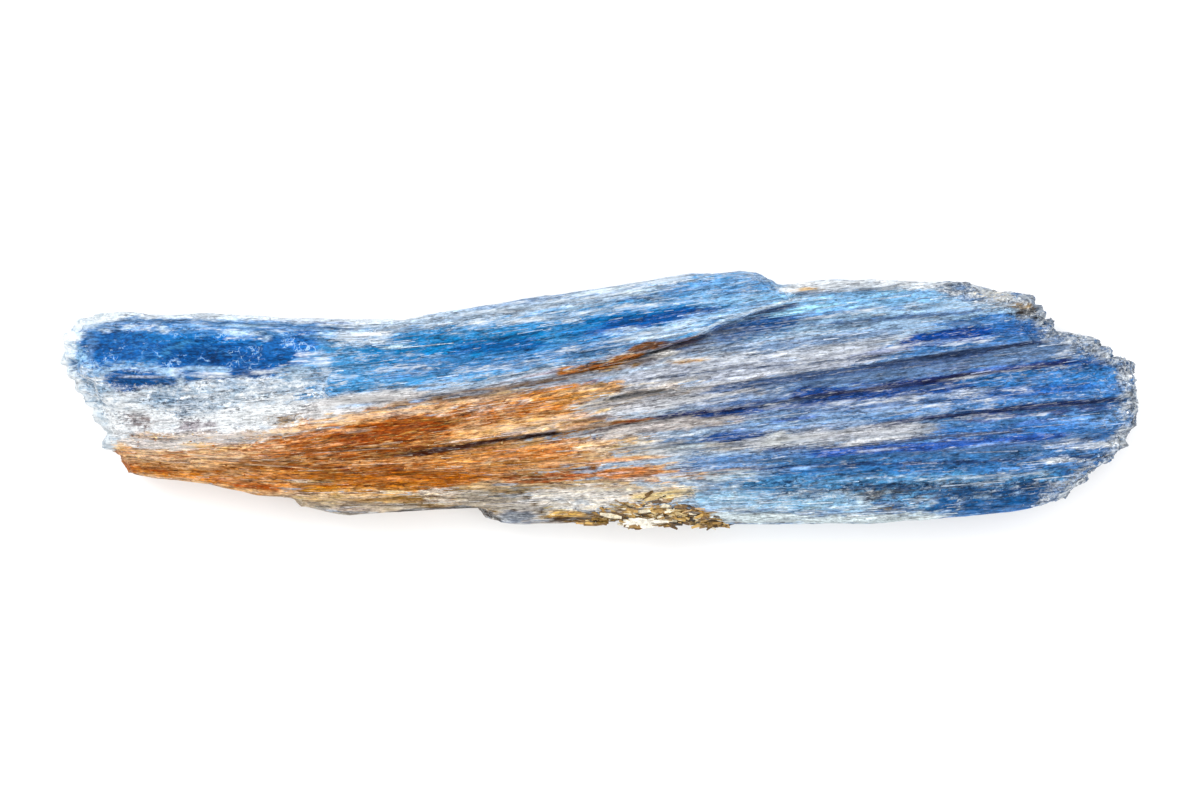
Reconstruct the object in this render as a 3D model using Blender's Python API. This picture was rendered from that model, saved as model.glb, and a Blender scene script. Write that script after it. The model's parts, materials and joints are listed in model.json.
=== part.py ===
"""A cluster of kyanite blades, grown together into one stone that lies on its back.

Kyanite grows as long flat blades. Here about twenty of them lie nearly side by side, fan out a little
towards +X and overlap like shingles, over a bed of plainer blades that the stone rests on. Each blade is a
lath: a cube cut into stations along its length, placed by its stations, chamfered, and broken off at both
ends. Thin splinters on the blades, broken stubs round both ends of the stone and a nest of mica flakes are
fused to them, so that the whole stone is one solid.

Every size below is in millimetres. X runs along the stone, Y across it and Z up. Z = 0 is the surface that
it rests on.
"""

import math
import random

import bmesh
import bpy
from mathutils import Matrix, Vector

MM = 0.001
NAME = "kyanite_blade_cluster"
SEED = 1

# Driving sizes of the whole stone.
LENGTH = 100.0
WIDTH = 24.1
THICKNESS = 12.0

BLUE = (0.07, 0.22, 0.52, 1.0)
ROUGHNESS = 0.35

# How far a lath's corners stray from their places, and how much it narrows below its top face.
STRAY = 0.10
KEEL_SHARE = 0.86
UNDER_KEEL_SHARE = 1.0

# Corners closer than this are one corner.
WELD = 0.02

# Each row is a blade: its name, the slope across its top face (positive where its -Y edge stands higher),
# its depth, its chamfers on the +Y and -Y edges, how far its left and right ends slant (along X for each
# millimetre of Y), and its stations. A station is the middle of the top face, x, y, z, and the width there.
UPPER_BLADES = (
    # The broad blade with the clear window, and the pale ones below it, at the left end.
    ("window", 0.06, 3.4, (1.5, 0.35), (0.10, 0.30),
     ((-48.6, 4.9, 9.0, 5.9), (-45.0, 5.1, 9.9, 6.5), (-37.4, 5.0, 10.1, 6.4), (-28.0, 5.2, 10.3, 5.0),
      (-15.9, 5.4, 10.4, 4.3))),
    ("pale_upper", -0.10, 5.5, (0.3, 0.3), (-0.30, 0.15),
     ((-47.6, 1.2, 8.8, 3.4), (-37.4, 0.6, 9.4, 3.1), (-28.0, 1.4, 9.9, 3.0), (-21.0, 1.9, 10.2, 3.2))),
    ("pale_middle", -0.22, 5.0, (0.3, 0.3), (-0.45, 0.60),
     ((-47.0, -1.2, 7.9, 3.2), (-37.4, -2.0, 8.7, 3.1), (-28.0, -1.3, 9.3, 3.0), (-18.0, -0.8, 9.8, 2.6))),
    ("pale_lower", -0.25, 4.6, (0.3, 0.4), (-0.60, 1.40),
     ((-46.2, -3.5, 6.7, 2.8), (-37.4, -4.1, 7.8, 2.9), (-28.0, -3.6, 8.7, 2.6), (-17.0, -2.9, 9.2, 2.3))),
    # The long blade that lies over the others and ends in a slanting tip.
    ("over", 0.03, 3.0, (0.9, 0.3), (0.10, -1.20),
     ((-25.6, 2.6, 10.45, 5.0), (-18.7, 4.1, 10.9, 7.8), (-9.3, 5.1, 11.4, 8.1), (0.0, 6.9, 11.6, 7.2),
      (8.4, 8.7, 11.5, 6.1), (12.4, 9.5, 11.3, 5.0), (14.8, 9.8, 11.1, 3.3), (17.9, 9.8, 10.8, 0.9))),
    # The fan of ribs, from its +Y side down.
    ("sky", -0.05, 3.2, (1.6, 0.3), (0.20, -1.10),
     ((10.0, 7.2, 9.8, 4.6), (15.0, 7.9, 9.9, 5.2), (21.5, 8.9, 9.8, 4.7), (28.0, 9.5, 9.5, 3.4),
      (33.7, 9.5, 9.1, 2.6), (37.8, 9.3, 8.7, 1.7))),
    ("steel", 0.10, 5.6, (0.3, 0.2), (0.60, -0.75),
     ((-4.0, 1.8, 9.8, 3.0), (1.9, 2.7, 10.1, 3.6), (9.4, 3.6, 10.3, 4.4), (18.7, 4.3, 10.5, 3.3),
      (27.0, 5.7, 10.4, 3.9), (33.7, 6.8, 10.1, 4.3), (40.6, 7.2, 9.4, 3.9))),
    ("dark", 0.24, 5.6, (0.2, 0.2), (1.60, -0.80),
     ((-5.6, -2.0, 9.8, 1.8), (1.9, -0.9, 9.9, 2.3), (9.4, 0.3, 10.0, 2.5), (18.7, 1.6, 10.0, 2.4),
      (27.0, 2.7, 9.9, 2.6), (37.4, 4.0, 9.5, 2.4), (45.6, 5.0, 9.0, 2.3))),
    ("deep_blue", 0.20, 5.8, (0.2, 0.3), (1.10, -0.55),
     ((-3.7, -3.9, 9.2, 2.4), (1.9, -3.2, 9.5, 2.5), (9.4, -2.3, 9.7, 2.8), (18.7, -1.2, 9.8, 3.4),
      (27.0, -0.2, 9.7, 3.3), (37.4, 1.1, 9.4, 3.9), (45.3, 2.0, 8.9, 4.2), (49.9, 2.0, 8.2, 3.3))),
    ("rim_blue", 0.16, 5.6, (0.2, 0.3), (1.30, 0.15),
     ((-1.9, -5.7, 8.6, 1.7), (5.2, -4.9, 8.9, 1.9), (13.1, -4.5, 9.1, 2.2), (20.1, -3.9, 9.2, 2.4),
      (28.0, -3.2, 9.1, 2.9), (37.4, -2.4, 8.8, 3.2), (46.7, -1.4, 8.3, 3.0), (50.1, -1.0, 7.7, 2.6))),
    ("slope", -0.14, 5.2, (0.2, 0.3), (0.90, 0.50),
     ((3.7, -7.0, 7.8, 2.0), (11.2, -6.9, 8.1, 2.6), (20.1, -6.6, 8.3, 3.2), (31.8, -5.7, 8.2, 2.7),
      (40.3, -4.9, 7.8, 2.8), (48.6, -3.8, 7.1, 2.8))),
    ("lower_blue", -0.34, 2.8, (0.3, 0.6), (-0.40, 0.80),
     ((8.4, -9.8, 6.5, 3.3), (16.8, -9.7, 6.7, 3.5), (25.2, -9.5, 6.9, 4.3), (31.8, -8.9, 6.9, 4.4),
      (38.3, -8.1, 6.6, 4.2), (43.0, -7.1, 6.2, 3.6), (46.4, -5.8, 5.9, 2.1))),
    # The iron-stained blades in the middle, between the long blade and the lower edge.
    ("stain_upper", -0.10, 5.2, (0.2, 0.2), (0.80, 1.20),
     ((-29.0, -1.5, 9.4, 2.5), (-18.7, -1.0, 9.8, 2.5), (-9.3, 0.0, 10.1, 2.3), (0.0, 1.7, 10.3, 3.0),
      (7.5, 3.3, 10.2, 3.4))),
    ("stain_middle", 0.14, 5.2, (0.2, 0.2), (1.50, -0.90),
     ((-33.4, -3.4, 8.5, 2.5), (-23.4, -3.2, 9.0, 2.4), (-14.0, -2.8, 9.5, 2.6), (-5.5, -1.8, 9.8, 2.4),
      (2.9, -0.8, 9.9, 2.3))),
    ("stain_lower", -0.08, 5.2, (0.2, 0.3), (1.20, -1.40),
     ((-39.3, -5.2, 7.2, 2.3), (-28.0, -5.6, 7.8, 2.5), (-18.7, -5.4, 8.4, 2.5), (-9.3, -4.9, 8.8, 2.6),
      (1.0, -4.0, 9.2, 2.8))),
    ("stain_edge", -0.40, 2.9, (0.2, 0.5), (-0.50, 1.80),
     ((-44.8, -5.8, 5.4, 2.0), (-37.4, -6.9, 6.3, 2.2), (-28.0, -7.8, 7.0, 2.9), (-18.7, -7.5, 7.5, 2.8),
      (-9.3, -6.9, 7.8, 2.4), (0.0, -6.9, 7.9, 2.5), (9.0, -7.0, 7.7, 2.4))),
    # The pale plates that show below the stain along the -Y edge.
    ("plate_left", -0.20, 2.2, (0.2, 0.4), (-1.10, 0.90),
     ((-29.4, -9.0, 5.3, 1.4), (-24.0, -9.5, 5.5, 2.0), (-20.0, -9.5, 5.6, 2.1), (-10.8, -9.0, 5.7, 1.9))),
    ("plate_middle", -0.25, 2.6, (0.2, 0.4), (-1.00, 1.50),
     ((-17.4, -8.8, 6.1, 2.2), (-9.0, -8.8, 6.3, 2.4), (-2.0, -8.6, 6.1, 2.1))),
    ("plate_right", -0.30, 2.4, (0.2, 0.5), (-0.80, 1.20),
     ((-11.6, -9.9, 4.9, 2.1), (-8.0, -10.1, 5.1, 2.6), (-3.0, -9.9, 5.2, 2.9), (4.0, -9.8, 5.1, 3.3))),
    ("plate_far", -0.22, 2.8, (0.2, 0.4), (-1.30, 1.00),
     ((-4.8, -9.2, 6.0, 2.6), (4.0, -9.0, 6.3, 3.0), (13.0, -8.9, 6.2, 2.9))),
)

# The blade in the middle of the stone, which the others have grown round.
HEART = ("heart", 0.0, 7.0, (1.0, 1.0), (0.0, 0.0),
         ((-44.5, 1.6, 7.8, 9.0), (-30.0, 0.4, 8.4, 12.5), (0.0, 0.2, 8.8, 15.5), (25.0, 1.0, 8.7, 16.5),
          (45.0, 0.6, 7.6, 10.0)))

# The plainer blades underneath and along both flanks. A row is the blade's name, the heights of its lower and
# upper faces, its width, its ends (x, y) and its end slants. Where a lower face would be at or below Z = 0 it
# is cut off flat there, and the stone rests on those blades.
BED_BLADES = (
    ("bed_plate", 1.3, 5.4, 2.6, (-25.0, -8.0), (12.0, -8.6), (-0.9, 0.7)),
    ("bed_fan_low", 0.9, 5.4, 2.8, (-2.0, -8.4), (41.0, -6.6), (0.6, 0.8)),
    ("bed_corner", 0.5, 5.2, 2.7, (-43.0, -4.2), (2.0, -7.0), (-0.5, 0.9)),
    ("bed_fan", -0.4, 5.6, 2.8, (-30.0, -5.6), (45.0, -4.6), (0.8, 0.4)),
    ("bed_left", -0.6, 5.6, 2.7, (-44.0, -2.2), (24.0, -3.2), (-0.4, -0.9)),
    ("bed_groove", 0.6, 5.4, 2.4, (-38.0, -0.4), (46.0, -2.0), (0.5, 0.3)),
    ("bed_middle", -0.6, 5.4, 2.9, (-40.0, 1.2), (36.0, 0.4), (0.7, -0.6)),
    ("bed_long", -0.2, 5.4, 2.6, (-24.0, 3.2), (47.0, 2.8), (1.0, -0.4)),
    ("bed_window", 0.3, 5.4, 2.7, (-46.5, 3.4), (10.0, 4.6), (0.2, 1.0)),
    ("bed_window_edge", 1.1, 4.6, 2.6, (-45.0, 5.2), (6.0, 6.4), (0.3, -0.8)),
    ("bed_sky", -0.1, 5.4, 2.5, (2.0, 4.8), (41.0, 5.4), (0.6, -0.7)),
    ("bed_sky_edge", 1.0, 4.4, 3.0, (-8.0, 7.0), (38.0, 7.4), (0.8, -1.0)),
    ("flank_window", 3.9, 7.6, 4.6, (-47.4, 4.6), (-8.0, 5.4), (0.2, 0.9)),
    ("flank_over", 5.6, 9.6, 5.0, (-21.0, 4.5), (15.6, 8.6), (0.7, -0.8)),
    ("flank_over_low", 3.6, 7.0, 4.6, (-13.0, 5.0), (12.0, 7.9), (0.9, -0.5)),
    ("flank_sky", 4.3, 8.2, 4.8, (6.0, 7.3), (36.5, 7.6), (0.4, -0.9)),
    ("flank_lower", 2.6, 5.6, 4.4, (10.0, -8.6), (42.0, -6.9), (-0.8, 0.9)),
    ("flank_plates", 2.4, 4.9, 4.2, (-23.0, -7.7), (7.0, -8.4), (-0.7, 0.6)),
    ("flank_stain", 2.0, 5.4, 4.0, (-43.0, -4.5), (-14.0, -7.2), (-0.5, 0.8)),
)
BED_BOW = 0.35

# Splinters lie along the top of the rougher blades: how many to a blade, and their width, rise and depth.
SMOOTH_BLADES = ("window", "plate_left", "plate_middle", "plate_right", "plate_far")
SPLINTERS_PER_BLADE = 2
SPLINTER_WIDTH = 0.8
SPLINTER_RISE = 0.26
SPLINTER_DEPTH = 1.2
SPLINTER_CHAMFER = 0.12

# The crumbling rims, as points that the middles of the broken stubs follow, and the stubs' sizes and heading.
RIGHT_RIM = ((36.0, 9.0, 8.0), (38.8, 9.0, 8.2), (40.0, 7.2, 8.0), (41.8, 5.6, 7.9), (45.0, 4.2, 7.6),
             (47.8, 2.8, 7.0), (48.4, 0.2, 6.8), (48.0, -2.8, 6.5), (46.4, -5.4, 6.1), (43.8, -7.4, 5.6),
             (38.0, -8.6, 5.6))
LEFT_RIM = ((-44.0, 7.1, 7.6), (-46.4, 6.7, 7.8), (-48.0, 5.4, 7.8), (-48.4, 3.4, 7.4), (-47.2, 1.0, 7.0),
            (-45.8, -1.6, 6.4), (-43.8, -4.4, 5.6))
RIGHT_HEADING = 0.1
LEFT_HEADING = -0.05
STUB_PITCH = 1.5
STUB_LENGTH = 3.0
STUB_WIDTH = 1.5
STUB_HEIGHT = 1.6
STUB_STRAY = 0.12
STUB_LAYERS = (-3.0, -1.5, 0.0)

# The nest of mica flakes on the -Y edge.
MICA_MIDDLE = (6.2, -10.2, 4.9)
MICA_REACH = (5.0, 0.7, 1.2)
MICA_FLAKES = 14
FLAKE_RADIUS = 1.6
FLAKE_THICKNESS = 0.4


def clear_scene():
    for obj in list(bpy.data.objects):
        bpy.data.objects.remove(obj)


def new_collection(name):
    made = bpy.data.collections.new(name)
    bpy.context.scene.collection.children.link(made)
    return made


def finish_mesh(bm, name, collection):
    """The bmesh, in millimetres, as an object in metres: a helper that the stone's union takes in."""
    bmesh.ops.remove_doubles(bm, verts=bm.verts, dist=WELD)
    bmesh.ops.dissolve_degenerate(bm, edges=bm.edges, dist=WELD)
    bmesh.ops.triangulate(bm, faces=bm.faces)
    bmesh.ops.recalc_face_normals(bm, faces=bm.faces)
    bmesh.ops.scale(bm, vec=(MM, MM, MM), verts=bm.verts)
    mesh = bpy.data.meshes.new(name)
    bm.to_mesh(mesh)
    bm.free()
    obj = bpy.data.objects.new(name, mesh)
    obj.hide_render = True
    obj.display_type = "WIRE"
    collection.objects.link(obj)
    return obj


def break_off(bm, point, normal):
    """Cuts the lath off flat at a plane and closes the cut."""
    geometry = bm.verts[:] + bm.edges[:] + bm.faces[:]
    cut = bmesh.ops.bisect_plane(bm, geom=geometry, plane_co=point, plane_no=normal, clear_outer=True)
    rim = [e for e in cut["geom_cut"] if isinstance(e, bmesh.types.BMEdge)]
    if rim:
        bmesh.ops.contextual_create(bm, geom=rim)


def break_ends(bm, stations, slants, chance):
    """Breaks both ends off at their slants, leaning inwards towards the top, and knocks a corner off each."""
    for (x, y, z, width), slant, out in ((stations[0], slants[0], -1.0), (stations[-1], slants[1], 1.0)):
        setback = 0.5 * width * abs(slant) + 0.1
        middle = Vector((x - out * setback, y, z))
        break_off(bm, middle, Vector((out, -out * slant, chance.uniform(0.1, 0.7))))
        corner = math.copysign(1.0, chance.uniform(-1.0, 1.0))
        edge = middle + Vector((0.0, corner * 0.42 * width, 0.0))
        break_off(bm, edge, Vector((out, corner * chance.uniform(0.6, 1.2), chance.uniform(0.3, 1.0))))


def make_lath(name, slope, depth, chamfers, slants, stations, chance, collection, keel=KEEL_SHARE):
    """One flat crystal, its top face on its stations and its ends broken off at a slant."""
    last = len(stations) - 1
    bm = bmesh.new()
    bmesh.ops.create_cube(bm, size=1.0)
    along = [e for e in bm.edges if abs(e.verts[0].co.x - e.verts[1].co.x) > 0.5]
    bmesh.ops.subdivide_edges(bm, edges=along, cuts=last - 1)
    top_edges = {1: [], -1: []}
    for edge in bm.edges:
        a, b = (v.co for v in edge.verts)
        if abs(a.x - b.x) > 1e-4 and a.z > 0 and b.z > 0:
            top_edges[1 if a.y > 0 else -1].append(edge)
    for vert in bm.verts:
        x, y, z, width = stations[round((vert.co.x + 0.5) * last)]
        side = math.copysign(0.5 * width, vert.co.y)
        if vert.co.z > 0:
            place = Vector((x, y + side, z - slope * side))
        else:
            place = Vector((x, y + keel * side, z - depth))
        vert.co = place + Vector((0.0, chance.uniform(-STRAY, STRAY), chance.uniform(-STRAY, STRAY)))
    for side, width in ((1, chamfers[0]), (-1, chamfers[1])):
        bmesh.ops.bevel(bm, geom=top_edges[side], offset=width, offset_type="OFFSET", segments=1,
                        profile=0.5, affect="EDGES", material=-1)
    break_ends(bm, stations, slants, chance)
    return finish_mesh(bm, name, collection)


def make_bed_blade(name, floor, top, width, left, right, slants, chance, collection):
    """A plain blade, bowed a little sideways and upwards along its length."""
    stations = []
    for share in (0.0, 0.25, 0.5, 0.75, 1.0):
        x, y = (a + share * (b - a) for a, b in zip(left, right))
        bow = BED_BOW * math.sin(math.pi * share)
        taper = 1.0 - 0.25 * abs(2.0 * share - 1.0)
        stations.append((x, y + bow, top + bow, taper * width))
    make_lath(name, 0.0, top - floor, (0.3, 0.3), slants, tuple(stations), chance, collection,
              keel=UNDER_KEEL_SHARE)


def along_blade(stations, x):
    """The middle's y and z and the width of a blade's top face at x."""
    for before, after in zip(stations, stations[1:]):
        if x <= after[0]:
            break
    share = (x - before[0]) / (after[0] - before[0])
    return tuple(b + share * (a - b) for b, a in zip(before[1:], after[1:]))


def splinter_stations(stations, chance):
    """A narrow stretch of a blade's own top face, a little above it and fading to both ends."""
    low, high = stations[0][0], stations[-1][0]
    reach = chance.uniform(0.35, 0.7) * (high - low)
    start = chance.uniform(low + 0.8, high - reach - 0.8)
    across = chance.choice((-0.42, chance.uniform(-0.3, 0.3), 0.42))
    rise = chance.uniform(0.5, 1.0) * SPLINTER_RISE
    made = []
    for share in (0.0, 0.2, 0.8, 1.0):
        x = start + share * reach
        y, z, width = along_blade(stations, x)
        fade = 1.0 if 0.0 < share < 1.0 else 0.35
        made.append((x, y + across * width, z + rise * fade, SPLINTER_WIDTH * fade))
    return tuple(made)


def make_splinters(blade, chance, collection):
    name, slope, _, _, _, stations = blade
    for number in range(SPLINTERS_PER_BLADE):
        slants = (chance.uniform(-1.5, 1.5), chance.uniform(-1.5, 1.5))
        make_lath(f"{name}_splinter_{number}", slope, SPLINTER_DEPTH, (SPLINTER_CHAMFER, SPLINTER_CHAMFER),
                  slants, splinter_stations(stations, chance), chance, collection)


def along_route(route, pitch):
    """Points a pitch apart along the straight runs between the route's points."""
    carried = 0.0
    for start, end in zip(route, route[1:]):
        start, end = Vector(start), Vector(end)
        run = (end - start).length
        reach = carried
        while reach < run:
            yield start.lerp(end, reach / run)
            reach += pitch
        carried = reach - run


def make_stub(name, middle, heading, chance, collection):
    """The broken end of a thin blade: a block along the rim's heading, out of square and a little turned."""
    bm = bmesh.new()
    bmesh.ops.create_cube(bm, size=1.0)
    for vert in bm.verts:
        vert.co += Vector(chance.uniform(-STUB_STRAY, STUB_STRAY) for _ in range(3))
    share = chance.uniform(0.75, 1.25)
    bmesh.ops.scale(bm, vec=(STUB_LENGTH, share * STUB_WIDTH, STUB_HEIGHT / share), verts=bm.verts)
    turn = (Matrix.Rotation(heading + chance.uniform(-0.15, 0.15), 3, "Z")
            @ Matrix.Rotation(chance.uniform(-0.3, 0.3), 3, "X"))
    bmesh.ops.rotate(bm, cent=(0, 0, 0), matrix=turn, verts=bm.verts)
    bmesh.ops.translate(bm, vec=middle, verts=bm.verts)
    return finish_mesh(bm, name, collection)


def make_rim(name, route, heading, chance, collection):
    for count, point in enumerate(along_route(route, STUB_PITCH)):
        for layer, drop in enumerate(STUB_LAYERS):
            middle = point + Vector((chance.uniform(-0.7, 0.5), chance.uniform(-0.3, 0.3), drop))
            make_stub(f"{name}_{count}_{layer}", middle, heading, chance, collection)


def make_mica(chance, collection):
    """Thin six-sided flakes, lying nearly flat and overlapping."""
    for number in range(MICA_FLAKES):
        radius = FLAKE_RADIUS * chance.uniform(0.55, 1.1)
        bm = bmesh.new()
        bmesh.ops.create_cone(bm, cap_ends=True, segments=6, radius1=radius, radius2=0.85 * radius,
                              depth=FLAKE_THICKNESS * chance.uniform(0.8, 1.5))
        bmesh.ops.scale(bm, vec=(1.5, 0.8, 1.0), verts=bm.verts)
        tilt = (Matrix.Rotation(chance.uniform(-0.5, 0.5), 3, "X")
                @ Matrix.Rotation(chance.uniform(-0.25, 0.25), 3, "Y"))
        bmesh.ops.rotate(bm, cent=(0, 0, 0), matrix=tilt, verts=bm.verts)
        along = 2.0 * number / (MICA_FLAKES - 1) - 1.0
        spread = Vector((along, chance.uniform(-1.0, 1.0), chance.uniform(-1.0, 1.0)))
        bmesh.ops.translate(bm, vec=Vector(MICA_MIDDLE) + spread * Vector(MICA_REACH), verts=bm.verts)
        finish_mesh(bm, f"mica_{number}", collection)


def make_floor_cutter(collection):
    """A slab below Z = 0 that leaves the stone a flat face to rest on."""
    bm = bmesh.new()
    bmesh.ops.create_cube(bm, size=1.0)
    bmesh.ops.scale(bm, vec=(2 * LENGTH, 2 * WIDTH, THICKNESS), verts=bm.verts)
    bmesh.ops.translate(bm, vec=(0.0, 0.0, -0.5 * THICKNESS), verts=bm.verts)
    return finish_mesh(bm, "floor_cutter", collection)


def kyanite():
    material = bpy.data.materials.new("kyanite")
    material.use_nodes = True
    material.diffuse_color = BLUE
    shader = material.node_tree.nodes["Principled BSDF"]
    shader.inputs["Base Color"].default_value = BLUE
    shader.inputs["Roughness"].default_value = ROUGHNESS
    shader.inputs["Metallic"].default_value = 0.0
    return material


def grow_together(body, grown, cutter):
    """One solid of the heart and everything that has grown on it, flat where it rests."""
    join = body.modifiers.new("grow_together", "BOOLEAN")
    join.operation = "UNION"
    join.solver = "EXACT"
    join.operand_type = "COLLECTION"
    join.collection = grown
    rest = body.modifiers.new("rest_flat", "BOOLEAN")
    rest.operation = "DIFFERENCE"
    rest.solver = "EXACT"
    rest.object = cutter


def shells_of(bm):
    """The faces of each separate closed surface."""
    left = set(bm.faces)
    while left:
        shell, reached = set(), [left.pop()]
        while reached:
            face = reached.pop()
            shell.add(face)
            for edge in face.edges:
                for other in edge.link_faces:
                    if other in left:
                        left.remove(other)
                        reached.append(other)
        yield shell


def settle(body):
    """Makes the joined stone a plain mesh: its outer surface alone, with its middle over the origin."""
    graph = bpy.context.evaluated_depsgraph_get()
    bm = bmesh.new()
    bm.from_mesh(bpy.data.meshes.new_from_object(body.evaluated_get(graph)))
    shells = sorted(shells_of(bm), key=len)
    sealed_inside = [face for shell in shells[:-1] for face in shell]
    bmesh.ops.delete(bm, geom=sealed_inside, context="FACES")
    low, high = ([pick(v.co[axis] for v in bm.verts) for axis in range(3)] for pick in (min, max))
    middle = Vector((-0.5 * (low[0] + high[0]), -0.5 * (low[1] + high[1]), -low[2]))
    bmesh.ops.translate(bm, vec=middle, verts=bm.verts)
    body.modifiers.clear()
    bm.to_mesh(body.data)
    bm.free()


def main():
    clear_scene()
    chance = random.Random(SEED)
    stone = new_collection(NAME)
    grown = new_collection("grown_together")
    cutters = new_collection("cutters")

    body = make_lath(*HEART, chance, stone, keel=UNDER_KEEL_SHARE)
    body.name = NAME
    body.hide_render = False
    body.display_type = "TEXTURED"
    body.data.materials.append(kyanite())

    for row in BED_BLADES:
        make_bed_blade(*row, chance, grown)
    for row in UPPER_BLADES:
        make_lath(*row, chance, grown)
        if row[0] not in SMOOTH_BLADES:
            make_splinters(row, chance, grown)
    make_rim("right_stub", RIGHT_RIM, RIGHT_HEADING, chance, grown)
    make_rim("left_stub", LEFT_RIM, LEFT_HEADING, chance, grown)
    make_mica(chance, grown)
    grow_together(body, grown, make_floor_cutter(cutters))
    settle(body)


main()
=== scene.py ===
# %% [markdown]
# # A cluster of kyanite blades
# Kyanite is an aluminium silicate that grows as long flat blades, blue where it holds a little iron and
# titanium. This stone is a hand specimen: blades side by side like shingles, a glassy blue window at one
# end, rust from iron in the middle, a nest of mica on one edge, and crumbling broken ends.
# The solid stone comes first, and everything here is made around it, in its own place.

import itertools
import json
import random

import bmesh
import bpy
import numpy as np
from mathutils import Matrix, Vector
from mathutils.bvhtree import BVHTree

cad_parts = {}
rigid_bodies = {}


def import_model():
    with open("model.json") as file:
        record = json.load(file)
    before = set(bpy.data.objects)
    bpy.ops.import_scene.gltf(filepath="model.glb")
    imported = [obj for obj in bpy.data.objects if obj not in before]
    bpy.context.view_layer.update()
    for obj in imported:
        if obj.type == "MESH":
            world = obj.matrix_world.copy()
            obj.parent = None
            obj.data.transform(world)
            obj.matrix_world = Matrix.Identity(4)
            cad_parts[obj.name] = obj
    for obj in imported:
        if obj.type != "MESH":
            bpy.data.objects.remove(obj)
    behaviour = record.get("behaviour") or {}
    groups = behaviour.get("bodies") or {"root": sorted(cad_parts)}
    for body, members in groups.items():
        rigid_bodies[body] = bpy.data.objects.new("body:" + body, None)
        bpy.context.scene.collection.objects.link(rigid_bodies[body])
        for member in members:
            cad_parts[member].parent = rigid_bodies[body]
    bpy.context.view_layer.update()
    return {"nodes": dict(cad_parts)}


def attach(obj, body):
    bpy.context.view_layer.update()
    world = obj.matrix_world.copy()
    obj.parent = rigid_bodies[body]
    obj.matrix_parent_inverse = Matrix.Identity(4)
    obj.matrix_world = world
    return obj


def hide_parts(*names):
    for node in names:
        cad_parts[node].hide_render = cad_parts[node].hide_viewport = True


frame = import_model()
STONE = "kyanite_blade_cluster"
MM = 0.001

# %% [markdown]
# ## Random numbers that never change
# Natural detail needs thousands of random choices, and the stone must come out the same on every run.
# Blender's own noise could be called one point at a time, but that is slow for a hundred thousand points.
# So whole-number cells are hashed with numpy instead: each number is multiplied by large odd numbers, whose
# bits look random, and its own high bits are folded into its low ones. Smooth noise blends the cells.

# %% Hashed cells, smooth clouds and even ranks
STIR, STIR_AGAIN = np.uint64(0x9E3779B97F4A7C15), np.uint64(0xBF58476D1CE4E5B9)
KEPT_BITS = 24


def hashed(cells, seed):
    """A steady random number from 0 to 1 for each row of whole-number cells."""
    mixed = np.full(len(cells), seed + 101, np.uint64)
    for column in np.asarray(cells).astype(np.int64).T:
        mixed = (mixed ^ column.astype(np.uint64)) * STIR
        mixed ^= mixed >> np.uint64(29)
    mixed *= STIR_AGAIN
    mixed ^= mixed >> np.uint64(32)
    return (mixed & np.uint64((1 << KEPT_BITS) - 1)) / float(1 << KEPT_BITS)


def clouds(points, sizes, seed):
    """Smooth noise from 0 to 1 whose cells have these sizes, in millimetres."""
    points = points / np.array(sizes)
    base = np.floor(points)
    share = points - base
    share = share * share * (3 - 2 * share)
    total = np.zeros(len(points))
    for corner in itertools.product((0, 1), repeat=points.shape[1]):
        weight = np.prod(np.where(corner, share, 1 - share), axis=1)
        total += weight * hashed(base + corner, seed)
    return total


def ranked(values):
    """The same pattern with its values spread evenly from 0 to 1."""
    ranks = np.empty(len(values))
    ranks[np.argsort(values, kind="stable")] = np.arange(len(values))
    return ranks / len(values)


def smoothstep(low, high, values):
    """0 at low and 1 at high, with a soft start and end. Low may be the larger one."""
    share = np.clip((values - low) / (high - low), 0, 1)
    return share * share * (3 - 2 * share)


print("a hashed cell:", round(float(hashed(np.array([[3, 7]]), 1)[0]), 4))

# %% [markdown]
# ## The way the fibres run
# Every streak on kyanite follows the blades, and the blades fan out. A texture stretched along X alone
# would cut across them. So the slope of the fibres is given at chosen places, as x, y and slope, and
# blended between them, each place reaching further along the stone than across it.

# %% Fibre slopes
FIBRE_SLOPES = (
    (-44.0, 7.0, -0.03), (-30.0, 6.5, -0.03), (-38.0, 4.0, -0.02), (-44.0, 0.0, 0.00), (-34.0, -1.5, 0.10),
    (-40.0, -5.5, -0.04), (-36.0, -7.6, -0.09), (-24.0, 4.0, 0.08), (-22.0, 0.5, 0.08), (-24.0, -3.5, 0.15),
    (-22.0, -6.0, 0.00), (-20.0, -9.5, 0.02), (-10.0, 8.5, 0.15), (-8.0, 5.0, 0.16), (-8.0, 1.5, 0.16),
    (-8.0, -3.4, 0.15), (-10.0, -6.6, 0.02), (-6.0, -9.8, 0.05), (5.0, 10.0, 0.15), (5.0, 6.0, 0.18),
    (5.0, 2.5, 0.14), (5.0, -1.4, 0.15), (6.0, -4.0, 0.11), (6.0, -6.3, 0.08), (8.0, -9.6, 0.02),
    (16.0, 9.5, 0.12), (16.0, 5.0, 0.12), (16.0, 1.2, 0.14), (16.0, -3.0, 0.11), (18.0, -5.3, 0.09),
    (18.0, -9.3, 0.03), (28.0, 9.3, 0.12), (28.0, 5.0, 0.13), (30.0, 1.5, 0.15), (30.0, -1.6, 0.12),
    (30.0, -4.6, 0.07), (30.0, -8.8, 0.06), (42.0, 8.0, 0.10), (42.0, 4.5, 0.13), (42.0, -0.3, 0.12),
    (42.0, -3.5, 0.06), (42.0, -7.0, 0.12), (49.0, 1.0, 0.10),
)
SLOPE_REACH = (8.0, 2.4)
FAINT = 1e-7


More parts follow.
